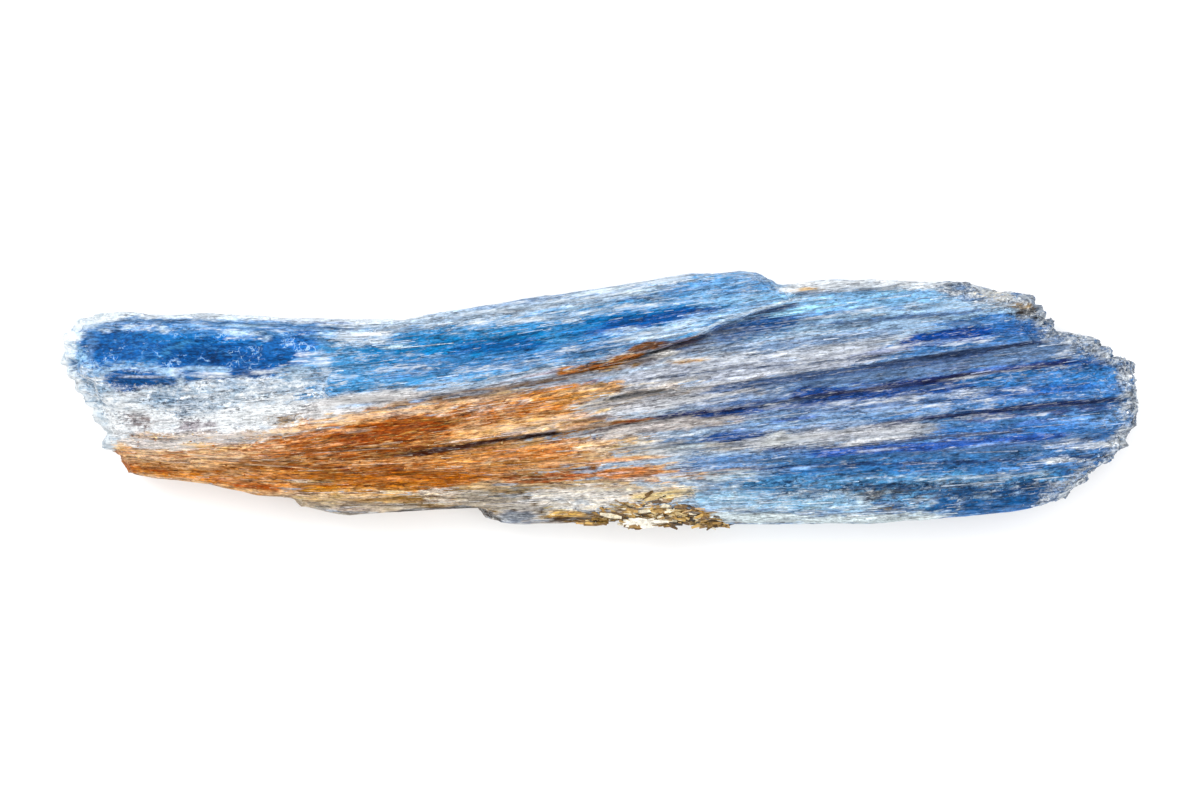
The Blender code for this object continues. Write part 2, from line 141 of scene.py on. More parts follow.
def slope_at(x, y):
    """The fibres' slope at each x and y, in millimetres. Far from every place it is their mean."""
    top, total = np.zeros(len(x)), np.full(len(x), 1e-9)
    for middle_x, middle_y, slope in FIBRE_SLOPES:
        weight = np.exp(-((x - middle_x) / SLOPE_REACH[0]) ** 2 - ((y - middle_y) / SLOPE_REACH[1]) ** 2)
        top += (weight + FAINT) * slope
        total += weight + FAINT
    return top / total


print("slope in the middle:", round(float(slope_at(np.zeros(1), np.zeros(1))[0]), 3))

# %% [markdown]
# ### The comb
# Each fibre is followed from X = 0 outwards, one millimetre at a time. Where it crosses X = 0 is its own
# number, and that number with X makes a coordinate system combed along the fibres.

# %% Follow and comb the fibres
COMB_X = np.arange(-54.0, 54.5, 1.0)
COMB_V = np.arange(-18.0, 18.1, 0.5)


def follow_fibres():
    """y of every combed fibre at every x: one row for each x."""
    rows = np.zeros((len(COMB_X), len(COMB_V)))
    middle = int(np.argmin(abs(COMB_X)))
    rows[middle] = COMB_V
    for step in (1, -1):
        index = middle
        while 0 <= index + step < len(COMB_X):
            halfway = np.full(len(COMB_V), COMB_X[index] + 0.5 * step)
            rows[index + step] = rows[index] + step * slope_at(halfway, rows[index])
            index += step
    return rows


FIBRE_Y = follow_fibres()


def between_rows(x, values, read_row):
    """What read_row gives for these values, blended between the comb's rows on either side of each x."""
    place = np.clip(x - COMB_X[0], 0, len(COMB_X) - 1.001)
    column = place.astype(int)
    found = np.empty(len(x))
    for index in np.unique(column):
        here = column == index
        left, right = read_row(values[here], index), read_row(values[here], index + 1)
        found[here] = left + (place[here] - index) * (right - left)
    return found


def comb(x, y):
    """The number of the fibre at each x and y."""
    return between_rows(x, y, lambda values, row: np.interp(values, FIBRE_Y[row], COMB_V))


def uncomb(x, across):
    """The y at each x of a fibre, from its number."""
    return between_rows(x, across, lambda values, row: np.interp(values, COMB_V, FIBRE_Y[row]))


print("fibres cross the right end from", FIBRE_Y[-1].min().round(1), "to", FIBRE_Y[-1].max().round(1), "mm")

# %% [markdown]
# ## Meshes and objects
# Four small jobs come back for every piece: closing a bmesh, reading a mesh's points into numpy, writing
# them back, and putting an object in the scene. An object always stays at the origin, unturned.

# %% Finish meshes, move points and place objects
def finished(bm, name):
    """Turns a bmesh into a mesh of this name, and frees the bmesh."""
    mesh = bpy.data.meshes.new(name)
    bm.to_mesh(mesh)
    bm.free()
    return mesh


def points_of(mesh):
    """The mesh's points, one row each."""
    points = np.empty(len(mesh.vertices) * 3)
    mesh.vertices.foreach_get("co", points)
    return points.reshape(-1, 3)


def move_points(mesh, points):
    """Puts the mesh's points in these places."""
    mesh.vertices.foreach_set("co", points.ravel())
    mesh.update()


def placed(name, data):
    """A new object in the scene that holds this mesh, camera or light."""
    made = bpy.data.objects.new(name, data)
    bpy.context.scene.collection.objects.link(made)
    return made


print("the solid has", len(frame["nodes"][STONE].data.polygons), "faces")

# %% [markdown]
# ## A fine skin over the solid
# The solid's flat facets have the stone's main shapes, but its surface is made of fibres a few tenths of a
# millimetre wide. Subdividing long thin triangles gives a poor grid for that. A voxel remesh gives an even
# one, and doing it in combed space, squeezed four times along the fibres, makes cells that are long and
# narrow just as the fibres are, so the same number of faces shows much finer ridges. The copy of the solid
# is sliced along X first, because an edge can bend with the fibres only where it has a point.

# %% Remesh in combed space
SQUEEZE = 4.0
VOXEL = 0.155
SLICES = np.arange(-50.0, 50.1, 2.5)


def combed_copy(node):
    """The solid in millimetres, sliced along X and laid out in combed space."""
    bm = bmesh.new()
    bm.from_mesh(frame["nodes"][node].data)
    bmesh.ops.remove_doubles(bm, verts=bm.verts, dist=1e-7)
    bmesh.ops.scale(bm, vec=(1 / MM, 1 / MM, 1 / MM), verts=bm.verts)
    for x in SLICES:
        geometry = bm.verts[:] + bm.edges[:] + bm.faces[:]
        bmesh.ops.bisect_plane(bm, geom=geometry, plane_co=(x, 0, 0), plane_no=(1, 0, 0))
    places = np.array([vert.co for vert in bm.verts])
    places[:, 1] = comb(places[:, 0], places[:, 1])
    places[:, 0] /= SQUEEZE
    for vert, place in zip(bm.verts, places):
        vert.co = place
    return finished(bm, "combed")


def remeshed(mesh):
    """The same shape with an even grid of small square faces."""
    helper = placed("remesh_helper", mesh)
    modifier = helper.modifiers.new("voxels", "REMESH")
    modifier.mode = "VOXEL"
    modifier.voxel_size = VOXEL
    modifier.use_smooth_shade = True
    graph = bpy.context.evaluated_depsgraph_get()
    made = bpy.data.meshes.new_from_object(helper.evaluated_get(graph))
    bpy.data.objects.remove(helper)
    return made


skin = remeshed(combed_copy(STONE))
places = points_of(skin)
along = places[:, 0] * SQUEEZE
places = np.column_stack((along, uncomb(along, places[:, 1]), places[:, 2]))
move_points(skin, places)
outward = np.empty(len(skin.vertices) * 3)
skin.vertex_normals.foreach_get("vector", outward)
outward = outward.reshape(-1, 3)
print("skin:", len(skin.vertices), "points,", len(skin.polygons), "faces")

# %% [markdown]
# ## Rods and strokes
# Kyanite splits into laths, so its relief is steps and not waves: each fibre stands at its own height and
# ends abruptly. Random heights in long cells give that, and every row of cells starts at its own place.
# A zone or a stroke of colour is a line of points with a half width, in millimetres. The lines are counted
# from a zero that lies a little off the solid's own, and SOFT_EDGE says where a stroke ends and where it is
# full, in half widths from its line.

# %% Rods, and how deep a point lies in a stroke
ZERO = np.array((0.21, 0.076))
SOFT_EDGE = (1.35, 0.55)


def rods(grain, length, width, seed):
    """A steady random number from 0 to 1 for each lath of this length and width."""
    across = np.floor(grain[:, 1:] / width)
    start = hashed(across, seed) * 50.0
    return hashed(np.column_stack((np.floor(grain[:, 0] / length + start), across)), seed + 1)


def inside(spots, line, half, fray=0.0, fade=None):
    """1 along a line and about 0.4 at its half width. Past its ends it fades over this length."""
    line = np.array(line, dtype=float)
    fade = fade or 1.2 * min(half, 2.0)
    x, y = (spots[:, :2] - ZERO).T
    start, end = line[0, 0], line[-1, 0]
    early = min(0.9 * fade, 0.4 * (end - start))
    beyond = np.maximum(np.maximum(start + early - x, x - end + early), 0) / fade
    across = (y - np.interp(x, line[:, 0], line[:, 1])) / half
    return smoothstep(*SOFT_EDGE, np.hypot(across, beyond) + fray)


def along_route(spots, route, reach):
    """1 on a route of points, falling to 0 at this distance from it."""
    x, y = (spots[:, :2] - ZERO).T
    nearest = np.full(len(x), 1e9)
    for (x0, y0), (x1, y1) in itertools.pairwise(route):
        run = (x1 - x0, y1 - y0)
        share = np.clip(((x - x0) * run[0] + (y - y0) * run[1]) / (run[0] ** 2 + run[1] ** 2), 0, 1)
        nearest = np.minimum(nearest, np.hypot(x - x0 - share * run[0], y - y0 - share * run[1]))
    return smoothstep(reach, 0.3 * reach, nearest)


def grain_of(spots):
    """Where each point lies along, across and up through the fibres, in millimetres."""
    across = comb(spots[:, 0], spots[:, 1])
    return np.column_stack((spots[:, 0], across, spots[:, 2]))


print("the middle lies on fibre", round(float(comb(np.zeros(1), np.zeros(1))[0]), 2))

# %% [markdown]
# ### Nudging the outline
# A broken rim is never as straight as the edge of a solid. So the skin is pushed in or out by up to a
# millimetre at a few places. Each has a middle, a reach and a push, and the push fades like a bell.

# %% Nudge the outline
NUDGES = (
    ((-48.2, -2.0), 2.4, (0.8, 0.5)), ((-50.0, 1.6), 1.6, (0.2, 0.4)), ((42.0, -9.6), 4.5, (0.5, -0.3)),
    ((-45.8, -4.4), 1.4, (-0.5, 0.0)), ((-50.2, 6.2), 1.5, (-0.2, 0.4)), ((-43.0, 8.2), 3.0, (0.0, 0.3)),
    ((-36.0, -8.0), 3.4, (0.0, 0.4)), ((4.0, -11.6), 3.5, (0.0, -0.3)), ((-24.0, -10.4), 2.5, (0.0, -0.3)),
    ((13.5, 11.7), 2.2, (0.2, 0.4)), ((33.5, 11.0), 2.5, (0.2, 0.3)), ((41.0, 9.6), 1.8, (0.5, 0.2)),
    ((49.2, 4.2), 1.4, (0.6, 0.1)), ((45.4, 6.2), 1.5, (0.4, 0.2)), ((48.0, -6.2), 1.6, (-0.7, 0.2)),
    ((45.8, -8.0), 1.6, (-0.6, 0.3)),
)
for middle, reach, push in NUDGES:
    nearby = np.exp(-((places[:, :2] - ZERO - middle) ** 2).sum(axis=1) / reach**2)
    places[:, :2] += nearby[:, None] * push
print("outline nudged in", len(NUDGES), "places")

# %% [markdown]
# ### Glassy and broken places
# Two numbers on every point steer its relief and its material: how glassy and how broken it is. The rims
# are read at places that noise has moved, because a crumbling edge has no clean border. A dark strip low on
# the right is only half broken, with rough speckled scales.

# %% Find the glassy and the broken places
WINDOW = (((-50.0, 5.0), (-38.0, 4.6), (-26.0, 4.9)), 2.2)
CRUMBLE = (((-51.0, -1.0), (-40.0, -0.9), (-33.0, -0.6), (-25.0, 0.6)), 2.9)
SPECKLED = (((16.0, -8.3), (28.0, -8.6), (44.0, -8.0)), 1.2)
LEFT_RIM = (
    (-45.5, 8.3), (-48.2, 7.8), (-49.8, 6.0), (-50.2, 3.0), (-49.0, 0.4), (-47.3, -1.5), (-46.4, -4.0),
)
RIGHT_RIM = (
    (33.0, 11.0), (38.5, 10.2), (41.0, 8.6), (43.0, 6.6), (46.0, 5.8), (49.0, 4.0), (50.2, 1.8), (50.2, -2.0),
    (48.8, -5.0), (46.0, -7.6), (42.5, -9.6),
)
grain = grain_of(places)
glassy = inside(places, *WINDOW)
moved = np.column_stack([clouds(grain, (1.6, 0.7, 0.7), seed) for seed in (23, 24, 25)]) - 0.5
frayed = places + 0.8 * moved
left_rim, right_rim = along_route(frayed, LEFT_RIM, 1.6), along_route(frayed, RIGHT_RIM, 2.6)
crumbled = inside(places, *CRUMBLE)
broken = np.maximum.reduce([crumbled, 0.65 * inside(places, *SPECKLED), left_rim, right_rim])
print("glassy points:", int((glassy > 0.5).sum()), " broken points:", int((broken > 0.5).sum()))

# %% [markdown]
# ## Laths as real relief
# A bump map would only pretend, and the stone is looked at from low angles too. So the points of the skin
# are moved along their normals: coarse laths first, then finer ones on them, calm under the glassy window
# and short and blocky where the stone has crumbled. The underside stays flat, for the stone to lie on.

# %% Raise and sink the laths
LATHS = ((22, 1.5, 0.17, 10), (11, 0.7, 0.13, 20), (6, 0.33, 0.09, 30))
BLOCKS = ((1.3, 0.8, 0.2, 40), (0.8, 0.45, 0.16, 50))
swayed = grain.copy()
swayed[:, 1] += 0.5 * (clouds(grain, (11, 2.5, 4), 3) - 0.5)
swayed[:, 2] += 0.5 * (clouds(grain, (11, 2.5, 4), 4) - 0.5)


def steps(rows):
    """Heights around zero from rods of each length, width, height and seed."""
    return sum(height * (rods(swayed, length, width, seed) - 0.5) for length, width, height, seed in rows)


laths = steps(LATHS) + 0.07 * (clouds(grain, (2.4, 0.2, 0.2), 5) - 0.5)
blocks = steps(BLOCKS) + 0.1 * (clouds(grain, (0.5, 0.25, 0.25), 6) - 0.5)
blocks *= 1 - 0.45 * crumbled
calm = 1 - 0.8 * glassy
lift = laths * calm * (1 - 0.7 * broken) + blocks * broken * calm
places += outward * lift[:, None]
places[:, 2] = np.maximum(places[:, 2], 0.0)
move_points(skin, places * MM)
print("relief from", round(float(lift.min()), 2), "to", round(float(lift.max()), 2), "mm")

# %% [markdown]
# ## Colours of the stone
# The colours are written as they look on a screen, and one function turns them to the linear numbers that
# Blender mixes. Colour follows patterns of two kinds: needles along the fibres, and rounded patches where
# the stone is crushed or crusted. Ranks make both spread evenly from 0 to 1, so that a stroke's share
# decides how many fibres take it. The stone gets two coats of the same strokes on different fibres.

# %% Colours and patterns
COATS = 2


def linear(code):
    """A screen colour such as #1466b4 as linear red, green and blue."""
    parts = np.array([int(code[index : index + 2], 16) / 255 for index in (1, 3, 5)])
    return np.where(parts <= 0.04045, parts / 12.92, ((parts + 0.055) / 1.055) ** 2.4)


def fibrous(seed):
    """Even ranks from 0 to 1 that change quickly across the fibres and slowly along them."""
    total = 0.4 * clouds(swayed, (14, 0.6, 0.6), seed) + 0.35 * clouds(swayed, (4, 0.26, 0.26), seed + 1)
    return ranked(total + 0.3 * clouds(swayed, (1.4, 0.17, 0.17), seed + 2))


def crumbly(seed):
    """Even ranks from 0 to 1 in rounded patches of about a millimetre."""
    return ranked(clouds(grain, (1.7, 1.0, 1.0), seed) + 0.6 * clouds(grain, (0.6, 0.4, 0.4), seed + 1))


def ragged(seed):
    """What is added to a stroke's distance so that its border is frayed."""
    return 0.7 * (clouds(grain, (2.6, 0.5, 0.5), seed) + clouds(grain, (0.8, 0.25, 0.25), seed + 1) - 1)


fibrous_patterns = [fibrous(100 + 10 * coat) for coat in range(COATS)]
crumbly_patterns = [crumbly(200 + 10 * coat) for coat in range(COATS)]
borders = [ragged(300 + 10 * coat) for coat in range(COATS)]
tints = [np.tile(linear("#93a8bf"), (len(places), 1)) for coat in range(COATS)]
print("patterns for", len(tints), "coats on", len(places), "points")

# %% [markdown]
# ### Crushed fibres, and the sides
# Each point also carries its share of crushed white fibres, which the material draws finer than the points
# lie. It comes in torn patches where it is strong. The strokes are drawn as seen from above, so on the
# sides and the underside they drift more the lower a point lies, and the back is no mirror image of the top.

# %% White fibres and drifting sides
SIDES_BELOW = 5
whiteness = 0.2 + 0.24 * (clouds(grain, (7, 0.9, 0.9), 13) - 0.5)
torn = 0.6 * clouds(grain, (2.4, 0.3, 0.3), 16) + 0.4 * clouds(grain, (0.9, 0.2, 0.2), 17)
torn = smoothstep(0.25, 0.6, torn)
sunk = np.maximum(SIDES_BELOW - places[:, 2], 0) * smoothstep(0.6, 0.0, outward[:, 2])
drift = np.column_stack([clouds(grain, (8, 2, 1.2), seed) - 0.5 for seed in (21, 22)])
painted_at = places.copy()
painted_at[:, :2] += sunk[:, None] * drift * (3.4, 1.0)
print("points that drift:", int((sunk > 0).sum()))

# %% [markdown]
# ### The brush
# Each stroke is a colour, a half width, the share of fibres that take it, and a line. It turns its pattern
# by the golden share of a whole turn, so no two strokes take the same fibres. A share of 1.2 or more covers
# everything. Bleaching and single cracks across the fibres are laid in the same way.

# %% Brush, bleach and crack
SOFTNESS = 0.18
GOLDEN = 0.618
PATCHY = 0.25
laid = []


def lay(code, amounts, patterns):
    """Blends a colour into each coat where its amount is more than its pattern, with soft needle points."""
    laid.append(code)
    for tint, amount, pattern in zip(tints, amounts, patterns):
        near = np.flatnonzero(amount)
        turned = (pattern[near] + GOLDEN * len(laid)) % 1.0
        taken = smoothstep(-SOFTNESS, SOFTNESS, amount[near] - SOFTNESS - (1 - SOFTNESS) * turned)
        tint[near] += (linear(code) - tint[near]) * taken[:, None]


def brush(strokes, patterns=fibrous_patterns, needles=2.0):
    """Lays strokes of a colour, a half width, a share and a line. Long needles fade further past the ends."""
    for code, half, share, line in strokes:
        fade = needles * (0.5 + min(half, 2.0))
        lay(code, [share * inside(painted_at, line, half, border, fade) for border in borders], patterns)
    print(len(laid), "colours laid so far")


def bleach(strokes):
    """Sets the share of crushed white fibres along each line, in torn patches where it is over PATCHY."""
    for half, share, line in strokes:
        within = inside(painted_at, line, half, borders[0], 1.5 + half)
        whiteness[:] += (share - whiteness) * within * (torn if share > PATCHY else 1)
    print("mean share of white fibres:", whiteness.mean().round(3))


def crack(code, share, route):
    """Lays a thin crack across the fibres, along a route of points."""
    taken = share * along_route(places, route, 0.55)[:, None]
    for tint in tints:
        tint += (linear(code) - tint) * taken


# %% [markdown]
# ### Ground colours
# Kyanite's blue deepens along this stone from one end to the other. So pale fibres come first everywhere,
# then bluer ones that begin at one x, in millimetres, and are at their full share at the next.

# %% Lay the ground colours
for code, share, start, end in (
    ("#c3d3e2", 0.40, -80, -60), ("#5f7fa3", 0.25, -80, -60), ("#6f92bb", 0.95, 2, 22),
    ("#3d74ae", 0.75, 14, 34), ("#2b66a6", 0.70, 22, 44),
):
    lay(code, [share * smoothstep(start, end, places[:, 0])] * COATS, fibrous_patterns)
whiteness -= 0.08 * smoothstep(8, 30, places[:, 0])
print(len(laid), "ground colours")

# %% [markdown]
# ### The crumbled corner
# Below the window the fibres are crushed to a white, sugary mass, where light scatters at every break. Its
# colours lie in soft rounded patches and not along the fibres.

# %% Paint the crumbled corner
brush((
    ("#edf1f4", 3.2, 1.4, ((-50, -1.0), (-40, -0.9), (-34, -0.8), (-25.5, 0.4))),
    ("#a3b8cb", 1.5, 0.6, ((-48.5, 0.5), (-40, 0.6), (-28, 1.2))),
    ("#7f9bb6", 1.1, 0.9, ((-41.4, 0.5), (-39.0, 0.7))),
    ("#86a2bc", 0.9, 0.8, ((-48.2, 1.2), (-46.2, 1.0))),
    ("#98a9bb", 0.9, 0.9, ((-39.5, -0.7), (-35.0, -0.1))),
    ("#978b8c", 0.9, 0.8, ((-43.8, -1.6), (-41.6, -2.0))),
    ("#a69fa5", 0.8, 0.9, ((-39.5, -2.5), (-35.4, -2.6))),
    ("#94a6ba", 0.8, 0.7, ((-34, 1.2), (-27, 1.4))),
    ("#8fa6be", 0.6, 0.7, ((-36, 1.7), (-33, 1.4))),
    ("#9d8a80", 0.5, 0.8, ((-31, -1.9), (-26.5, -1.2))),
    ("#cdbab0", 0.6, 0.8, ((-44, -3.4), (-34, -3.6), (-28, -2.6))),
), crumbly_patterns, 0.8)
bleach((
    (3.2, 0.46, ((-50, -1.0), (-40, -0.9), (-34, -0.8), (-25.5, 0.3))),
    (0.7, 0.80, ((-38, -3.8), (-32, -3.2), (-27, -2.2))),
    (0.6, 0.65, ((-46, -0.4), (-42, 0.2))),
    (0.6, 0.60, ((-34, 0.3), (-27, 1.9))),
    (0.5, 0.60, ((-48, -2.6), (-44, -3.2))),
    (0.6, 0.55, ((-26, -0.6), (-18, 1.0))),
))

# %% [markdown]
# ### The glassy window
# The blade at the left end has split along its best cleavage, so one looks into clear deep blue. It is
# edged in pale crushed fibres, with a second, thinner blue strip below it.

# %% Paint the window
brush((
    ("#6094c4", 2.6, 1.2, ((-51, 5.2), (-38, 5.2), (-24, 5.0))),
    ("#d3dfeb", 0.6, 1.2, ((-50, 8.1), (-36, 8.1), (-26, 7.7), (-18, 7.6))),
    ("#5685b8", 0.7, 1.0, ((-47, 7.1), (-36, 6.9), (-26, 6.6))),
    ("#35618f", 0.14, 1.0, ((-46, 7.5), (-34, 7.25), (-22, 6.6))),
    ("#00589f", 1.8, 1.4, ((-50, 5.0), (-44, 5.0), (-38, 4.8), (-32, 4.6), (-26, 4.9))),
    ("#004f94", 1.1, 1.0, ((-43, 4.6), (-38, 4.5), (-32, 4.3), (-29, 4.7))),
    ("#004c90", 0.8, 1.1, ((-42, 3.7), (-36, 3.1), (-30.5, 3.3))),
    ("#0a6cb4", 0.8, 0.9, ((-47.6, 5.8), (-42, 6.1), (-37, 5.9))),
    ("#1470b6", 0.5, 0.7, ((-37, 5.9), (-30, 5.8))),
    ("#1470b6", 0.35, 0.7, ((-45, 3.8), (-41, 3.6))),
    ("#487eb4", 0.35, 0.9, ((-47, 6.7), (-38, 6.6), (-28, 6.3))),
    ("#155a98", 0.75, 1.6, ((-45.8, 2.0), (-41, 2.2), (-38.8, 2.2))),
    ("#2563a0", 0.5, 1.2, ((-38.6, 2.4), (-37.0, 2.3))),
    ("#86b2d6", 1.2, 0.9, ((-49.2, 4.4), (-48.2, 4.4))),
    ("#8ba8c6", 0.8, 0.9, ((-28.6, 3.0), (-26.4, 2.0))),
), fibrous_patterns, 0.8)

# %% [markdown]
# ### Clouds in the window
# Clear stone shows no fibres, so lighter and darker clouds lie in it in rounded patches. A fine crack
# crosses it, because kyanite parts across its length too, and its crushed fibres are taken away.

# %% Cloud and clear the window
brush((
    ("#bfd2e4", 0.3, 0.9, ((-46.2, 6.6), (-45.6, 6.4))),
    ("#bfd2e4", 0.3, 0.9, ((-44.0, 6.9), (-43.4, 6.9))),
    ("#bfd2e4", 0.35, 0.9, ((-40.8, 6.8), (-40.2, 6.5))),
    ("#a9c4de", 0.25, 0.8, ((-35, 6.4), (-31, 6.2))),
    ("#a9c4de", 0.3, 0.9, ((-31.3, 5.8), (-30.6, 5.7))),
    ("#b8cad9", 0.5, 1.0, ((-39.4, 2.6), (-38.9, 1.8))),
    ("#8fb2d4", 0.35, 1.7, ((-47, 2.95), (-43, 2.9), (-39.6, 2.75))),
    ("#8fb2d4", 0.3, 1.3, ((-38.6, 3.0), (-34.4, 2.8))),
    ("#0e5292", 0.85, 2.0, ((-45.6, 2.0), (-41.0, 2.05))),
    ("#22609c", 0.5, 1.6, ((-38.9, 2.2), (-37.2, 2.3))),
    ("#2a6cb0", 0.5, 1.5, ((-29.4, 5.0), (-26.2, 5.0))),
    ("#00549b", 1.5, 1.1, ((-47.8, 4.8), (-42, 4.9))),
    ("#2a7cbe", 0.4, 0.3, ((-47, 5.9), (-43, 5.8))),
    ("#3a86c0", 0.35, 0.5, ((-42, 3.4), (-38, 5.8))),
    ("#0d5fa8", 0.8, 0.6, ((-33, 4.9), (-27, 4.8))),
    ("#003c78", 0.6, 0.7, ((-38, 3.8), (-31, 4.4))),
), crumbly_patterns, 0.8)
crack("#a4c6e4", 0.25, ((-47.5, 6.6), (-47.3, 5.4), (-47.6, 3.4)))
bleach((
    (2.3, 0.0, ((-47.4, 4.9), (-38, 4.7), (-28, 4.8))),
    (0.4, 0.35, ((-47, 6.9), (-38, 6.7), (-28, 6.5))),
    (0.25, 0.5, ((-34, 5.9), (-31.5, 5.8))),
    (0.2, 0.35, ((-46, 2.9), (-42, 2.8), (-38, 2.5))),
    (0.25, 0.65, ((-37.6, 2.5), (-34, 2.5), (-30, 2.9), (-29.2, 3.4))),
    (0.28, 0.7, ((-29, 3.4), (-26.2, 3.9))),
    (1.0, 0.05, ((-29.4, 5.0), (-26.6, 5.2))),
    (0.5, 0.1, ((-44.6, 2.0), (-38.6, 2.1))),
    (0.4, 0.6, ((-26.6, 4.2), (-25.4, 2.6))),
))

# %% [markdown]
# ### Iron rust
# Water has drawn iron between the blades, from bright orange to nearly black brown. It follows the fibres,
# so it is laid in long strokes that leave pale needles between them: broad stains and their dark heart
# first, then the bright edges.

# %% Stain the blades with rust
brush((
    ("#c9a27c", 1.1, 1.4, ((-46, -6.6), (-42, -7.6), (-36, -8.3), (-26, -9.6), (-14, -9.4))),
    ("#dfb382", 1.5, 1.2, (
        (-47, -4.8), (-40, -5.4), (-34, -5.4), (-26, -4.6), (-16, -3.6), (-4, -1.6), (2, -0.8),
    )),
    ("#cd945a", 2.3, 1.2, ((-39, -6.0), (-26, -6.2), (-16, -5.8), (-6, -5.5))),
    ("#c47a1c", 1.2, 1.2, ((-47, -5.3), (-40, -6.0), (-34, -6.6), (-26, -7.2), (-18, -7.6), (-9, -7.3))),
    ("#ce7c1e", 1.1, 0.8, ((-45.5, -5.1), (-40, -5.6), (-34, -6.2), (-26, -6.6), (-14, -6.7), (-9, -7.3))),
    ("#b5620e", 1.3, 1.0, (
        (-37, -5.0), (-30, -4.5), (-24, -3.2), (-18, -2.2), (-12, -1.6), (-6, -0.2), (0, 0.9),
    )),
    ("#cd965c", 1.4, 0.6, ((-26, -4.4), (-16, -4), (-8, -2.5), (0, -1.2))),
    ("#924402", 1.2, 1.2, ((-25, -4), (-20, -3), (-14, -1.8))),
    ("#8c4404", 0.6, 0.9, ((-24, -5), (-14, -4.6))),
    ("#a86000", 1.0, 1.2, ((-28, -7.1), (-18, -7.5), (-12, -7.4))),
    ("#9c4c08", 0.3, 0.9, ((-45, -5.7), (-42, -6.3), (-39, -6.6))),
    ("#9c4c08", 0.4, 0.9, ((-36, -7.4), (-29.5, -8.2))),
    ("#8d5c2c", 0.3, 0.6, ((-40, -5.9), (-28, -6.3))),
))
brush((
    ("#dc8c30", 0.7, 1.0, ((-10, -0.2), (-4, 0.6), (0.4, 1.3))),
    ("#e0a050", 0.6, 0.7, ((-6.2, -0.9), (-1, 0.4))),
    ("#d9902f", 0.6, 0.7, ((-14, -5.2), (-8, -5))),
    ("#e59a40", 0.6, 0.9, ((-45.4, -5.0), (-41, -5.4))),
    ("#f2cea2", 0.6, 0.9, ((-46, -4.1), (-36, -4.7), (-30, -4.3))),
    ("#f0bc86", 0.9, 1.0, ((-46, -4.9), (-40, -5.4), (-34, -5.6))),
    ("#d98f30", 0.4, 0.9, ((-34, -6.4), (-27, -6.6))),
    ("#c98a1c", 0.5, 0.9, ((-28, -8.3), (-24, -8.6), (-18, -8.5))),
    ("#cf7f2c", 0.5, 0.9, ((-12, -6.6), (-4, -6.0))),
    ("#d9862c", 0.3, 0.9, ((0.5, -6.9), (2.4, -6.7))),
    ("#b8641c", 0.35, 0.9, ((-8, -7.4), (-1, -7))),
    ("#b87f4c", 1.4, 1.2, ((-11, -5.5), (-2, -4.8), (1, -4.5))),
    ("#c9a888", 1.0, 0.7, ((-2, -4.6), (6, -4.0))),
    ("#c4701c", 0.8, 0.7, ((-12, -5.0), (-6, -4.6), (-1, -4.0))),
    ("#d9a876", 0.6, 0.6, ((-12, -3), (-4, -2.2))),
    ("#dca062", 0.5, 0.7, ((-4, 0.2), (0, 1.0), (3, 1.5))),
))

# %% [markdown]
# ### Thin lines in the rust
# Single fibres have stayed clean or gone grey, and dirt has filled the grooves between the blades, so thin
# strokes break up the stains.

# %% Draw thin lines in the rust
brush((
    ("#e8cda8", 0.25, 0.6, ((-38, -5.4), (-28, -5.3), (-20, -4.2))),
    ("#e6cfb0", 0.25, 0.7, ((-30, -7.6), (-24, -7.6))),
    ("#9a8a84", 0.25, 0.6, ((-34, -5.9), (-26, -5.9))),
    ("#9a8a84", 0.25, 0.6, ((-22, -6.5), (-14, -6.3))),
    ("#8a6a58", 0.3, 0.6, ((-18, -2.4), (-10, -1.5))),
    ("#5c3010", 0.26, 0.6, ((-22, -4.9), (-18, -4.9), (-14, -4.5))),
    ("#582a0c", 0.24, 1.3, ((-15, -4.5), (-12, -4.1), (-8, -3.5), (-4, -2.9))),
    ("#7d4a30", 0.2, 0.8, ((-5, -7), (0, -6.2))),
    ("#b8763f", 0.35, 0.7, ((-1, -7.6), (4, -6.9))),
    ("#b5652a", 0.3, 0.8, ((-2, -7.0), (5, -6.2))),
    ("#c08a62", 0.3, 0.7, ((3, -6.7), (9.4, -6.8))),
    ("#b07848", 0.18, 0.9, ((-6, -1.3), (0, -0.3), (4, 0.5))),
    ("#a8865c", 0.2, 0.8, ((-6, -2.4), (0, -1.4), (5, -0.8))),
    ("#cfa884", 0.3, 0.5, ((1, -6.0), (8, -5.7))),
))

# %% [markdown]
# ### Crusts in the rust
# Where rust is thick it lies on the fibres as a crust and hides their direction, so the last strokes go on
# in rounded patches. Rust stains white fibres too, so few stay white.

